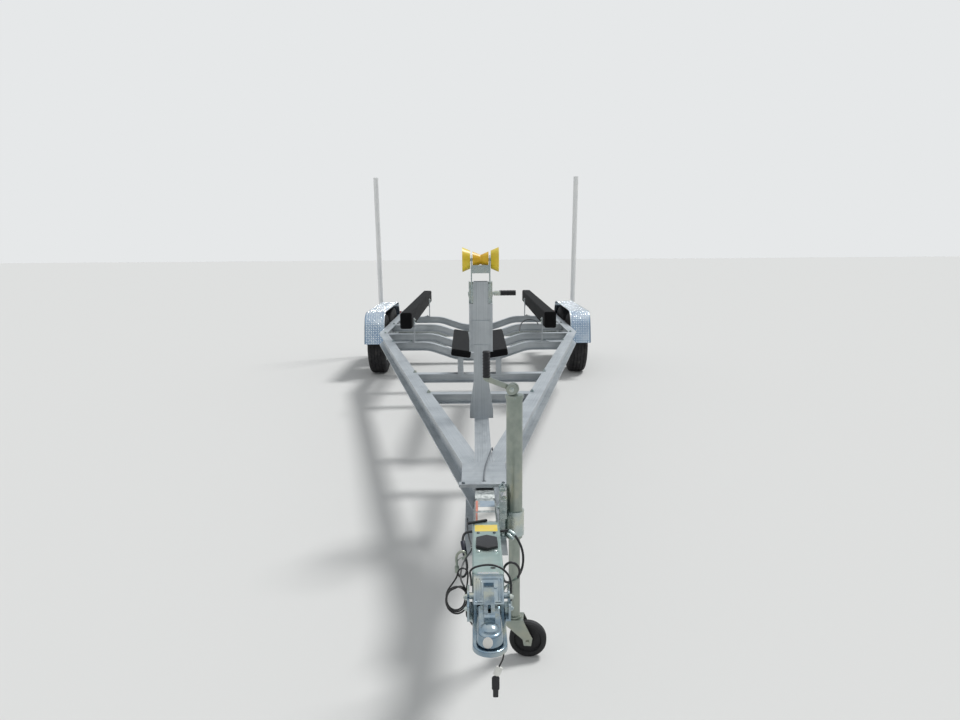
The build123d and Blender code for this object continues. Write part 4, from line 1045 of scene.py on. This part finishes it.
def draped_disc(name, centre, aim, radius, onto):
    """Round sticker laid on a CAD surface along a line of sight."""
    place, data = nodes[onto].matrix_world, nodes[onto].data
    faces = [tuple(face.vertices) for face in data.polygons]
    skin = BVHTree.FromPolygons([place @ v.co for v in data.vertices], faces)
    centre, aim = Vector(centre), Vector(aim).normalized()
    level = aim.cross(Vector((0, 0, 1))).normalized()
    rise = level.cross(aim)
    count, sides = 7, 32
    bm = bmesh.new()
    rings = []
    for ring in range(1, count + 1):
        row = []
        for step in range(sides):
            angle = math.tau * step / sides
            reach = radius * ring / count
            spot = centre + level * reach * math.cos(angle) + rise * reach * math.sin(angle)
            hit = skin.ray_cast(spot - aim * 0.05, aim)[0] or spot
            row.append(bm.verts.new(hit - aim * 0.0006))
        rings.append(row)
    rings.append([bm.verts.new(v.co + aim * 0.0012) for v in rings[-1]])
    for here, there in zip(rings, rings[1:]):
        for at in range(sides):
            nxt = (at + 1) % sides
            bm.faces.new((here[at], there[at], there[nxt], here[nxt]))
    bm.faces.new(rings[0])
    return seat(mesh_from(name, bm, "white_label", 50))


def dress_actuator():
    """Fasteners of the slide, the coupler's ears and the jack's bracket and crank."""
    bolts("front_screws", "dark_zinc", both_sides([((0.026, -3.6305, SLIDE_TOP), UP, 0.011)]), "round")
    bolts("rear_screws", "zinc", both_sides([((0.026, -3.772, SLIDE_TOP), UP, 0.014)]), "round")
    ears = [((0.059, -3.965, 0.526), RIGHT, 0.014), ((0.059, -4.015, 0.518), RIGHT, 0.011)]
    bolts("ear_bolts", "zinc", both_sides(ears))
    jack = [
        ((0.0655, -3.424, 0.614), FORWARD, 0.015), ((0.064, -3.424, 0.560), FORWARD, 0.012),
        ((0.061, -3.405, 0.640), UP, 0.015), ((0.061, -3.372, 0.640), UP, 0.015),
        ((0.050, -3.398, 0.573), LEFT, 0.012), ((0.061, -3.408, 0.471), UP, 0.013),
        ((0.061, -3.374, 0.471), UP, 0.013),
    ]
    bolts("jack_bolts", "zinc", jack)
    hub = [((0.093, -3.414, 1.001), FORWARD, 0.012), ((0.104, -3.422, 0.970), UP, 0.004)]
    bolts("jack_hub_bolt", "zinc", hub)


# Sloping front of the coupler's housing: Y and Z of its upper edge, its extent, and the way out of it
HOUSING_TOP = (-3.972, 0.590)
HOUSING_RUN, HOUSING_DROP, HOUSING_LENGTH = 0.058, 0.052, 0.0779
HOUSING_OUT = (-0.667, 0.745)


def housing_point(x, down, lift):
    """Place on the housing's sloping front: across, down the slope and out from it."""
    share = down / HOUSING_LENGTH
    y = HOUSING_TOP[0] - HOUSING_RUN * share + HOUSING_OUT[0] * lift
    return (x, y, HOUSING_TOP[1] - HOUSING_DROP * share + HOUSING_OUT[1] * lift)


def dress_housing():
    """Rounded border pressed into the housing's sloping front, and the rounded edges of its ribs."""
    x, top, low, bend = 0.0355, 0.006, 0.072, 0.007
    left = [(-0.017, low), (-x + bend, low), (-x, low), (-x, low - bend)]
    left += [(-x, top + bend), (-x, top), (-x + bend, top)]
    path = left + [(-at, down) for at, down in reversed(left)]
    border = [housing_point(at, down, 0.0004) for at, down in path]
    seat(bent_bar("housing_border", border, 0.0021, "coupler"))
    rib = [(-0.002, 0.066), (-0.002, 0.012), (0.002, 0.012), (0.002, 0.066)]
    for count, middle in enumerate((-0.029, -0.021, 0.029)):
        edge = [housing_point(middle + at, down, 0.003) for at, down in rib]
        seat(bent_bar(f"rib_edge_{count}", edge, 0.0011, "coupler"))


def make_hose():
    """Brake hose that loops from one cross member over to the next on the right."""
    route = [
        (0.430, 1.560, 0.586), (0.432, 1.600, 0.610), (0.450, 1.700, 0.650), (0.485, 1.810, 0.672),
        (0.530, 1.930, 0.676), (0.585, 2.060, 0.664), (0.640, 2.190, 0.640), (0.675, 2.290, 0.612),
        (0.688, 2.350, 0.586),
    ]
    seat(bent_bar("brake_hose", route, 0.0055, "vinyl"), "black_rubber")
    ends = [((0.430, 1.560, 0.581), UP, 0.016), ((0.688, 2.352, 0.581), UP, 0.016)]
    bolts("hose_unions", "zinc", ends)


def make_lamps():
    """Reflector prisms in a grid over each lamp's lens."""
    for side, sign in SIDES:
        rows = []
        for column in range(9):
            for row in range(6):
                place = (sign * (1.041 + 0.0114 * column), LENS_Y, 0.493 + 0.0128 * row)
                rows.append((place, BACK, (0.0046, 0.0046, 0.0012), 0.785))
        scatter("lens_prisms_" + side, "lens", "lozenge", rows, "red_lens")


set_camera()
set_floor()
set_light()
lay_cords()
dress_nodes()
make_tyres()
make_wheel_fasteners()
make_fender_tread()
make_bunks()
frame_bolts()
make_grips()
make_labels()
dress_actuator()
dress_housing()
cable_fittings()
make_hose()
make_lamps()
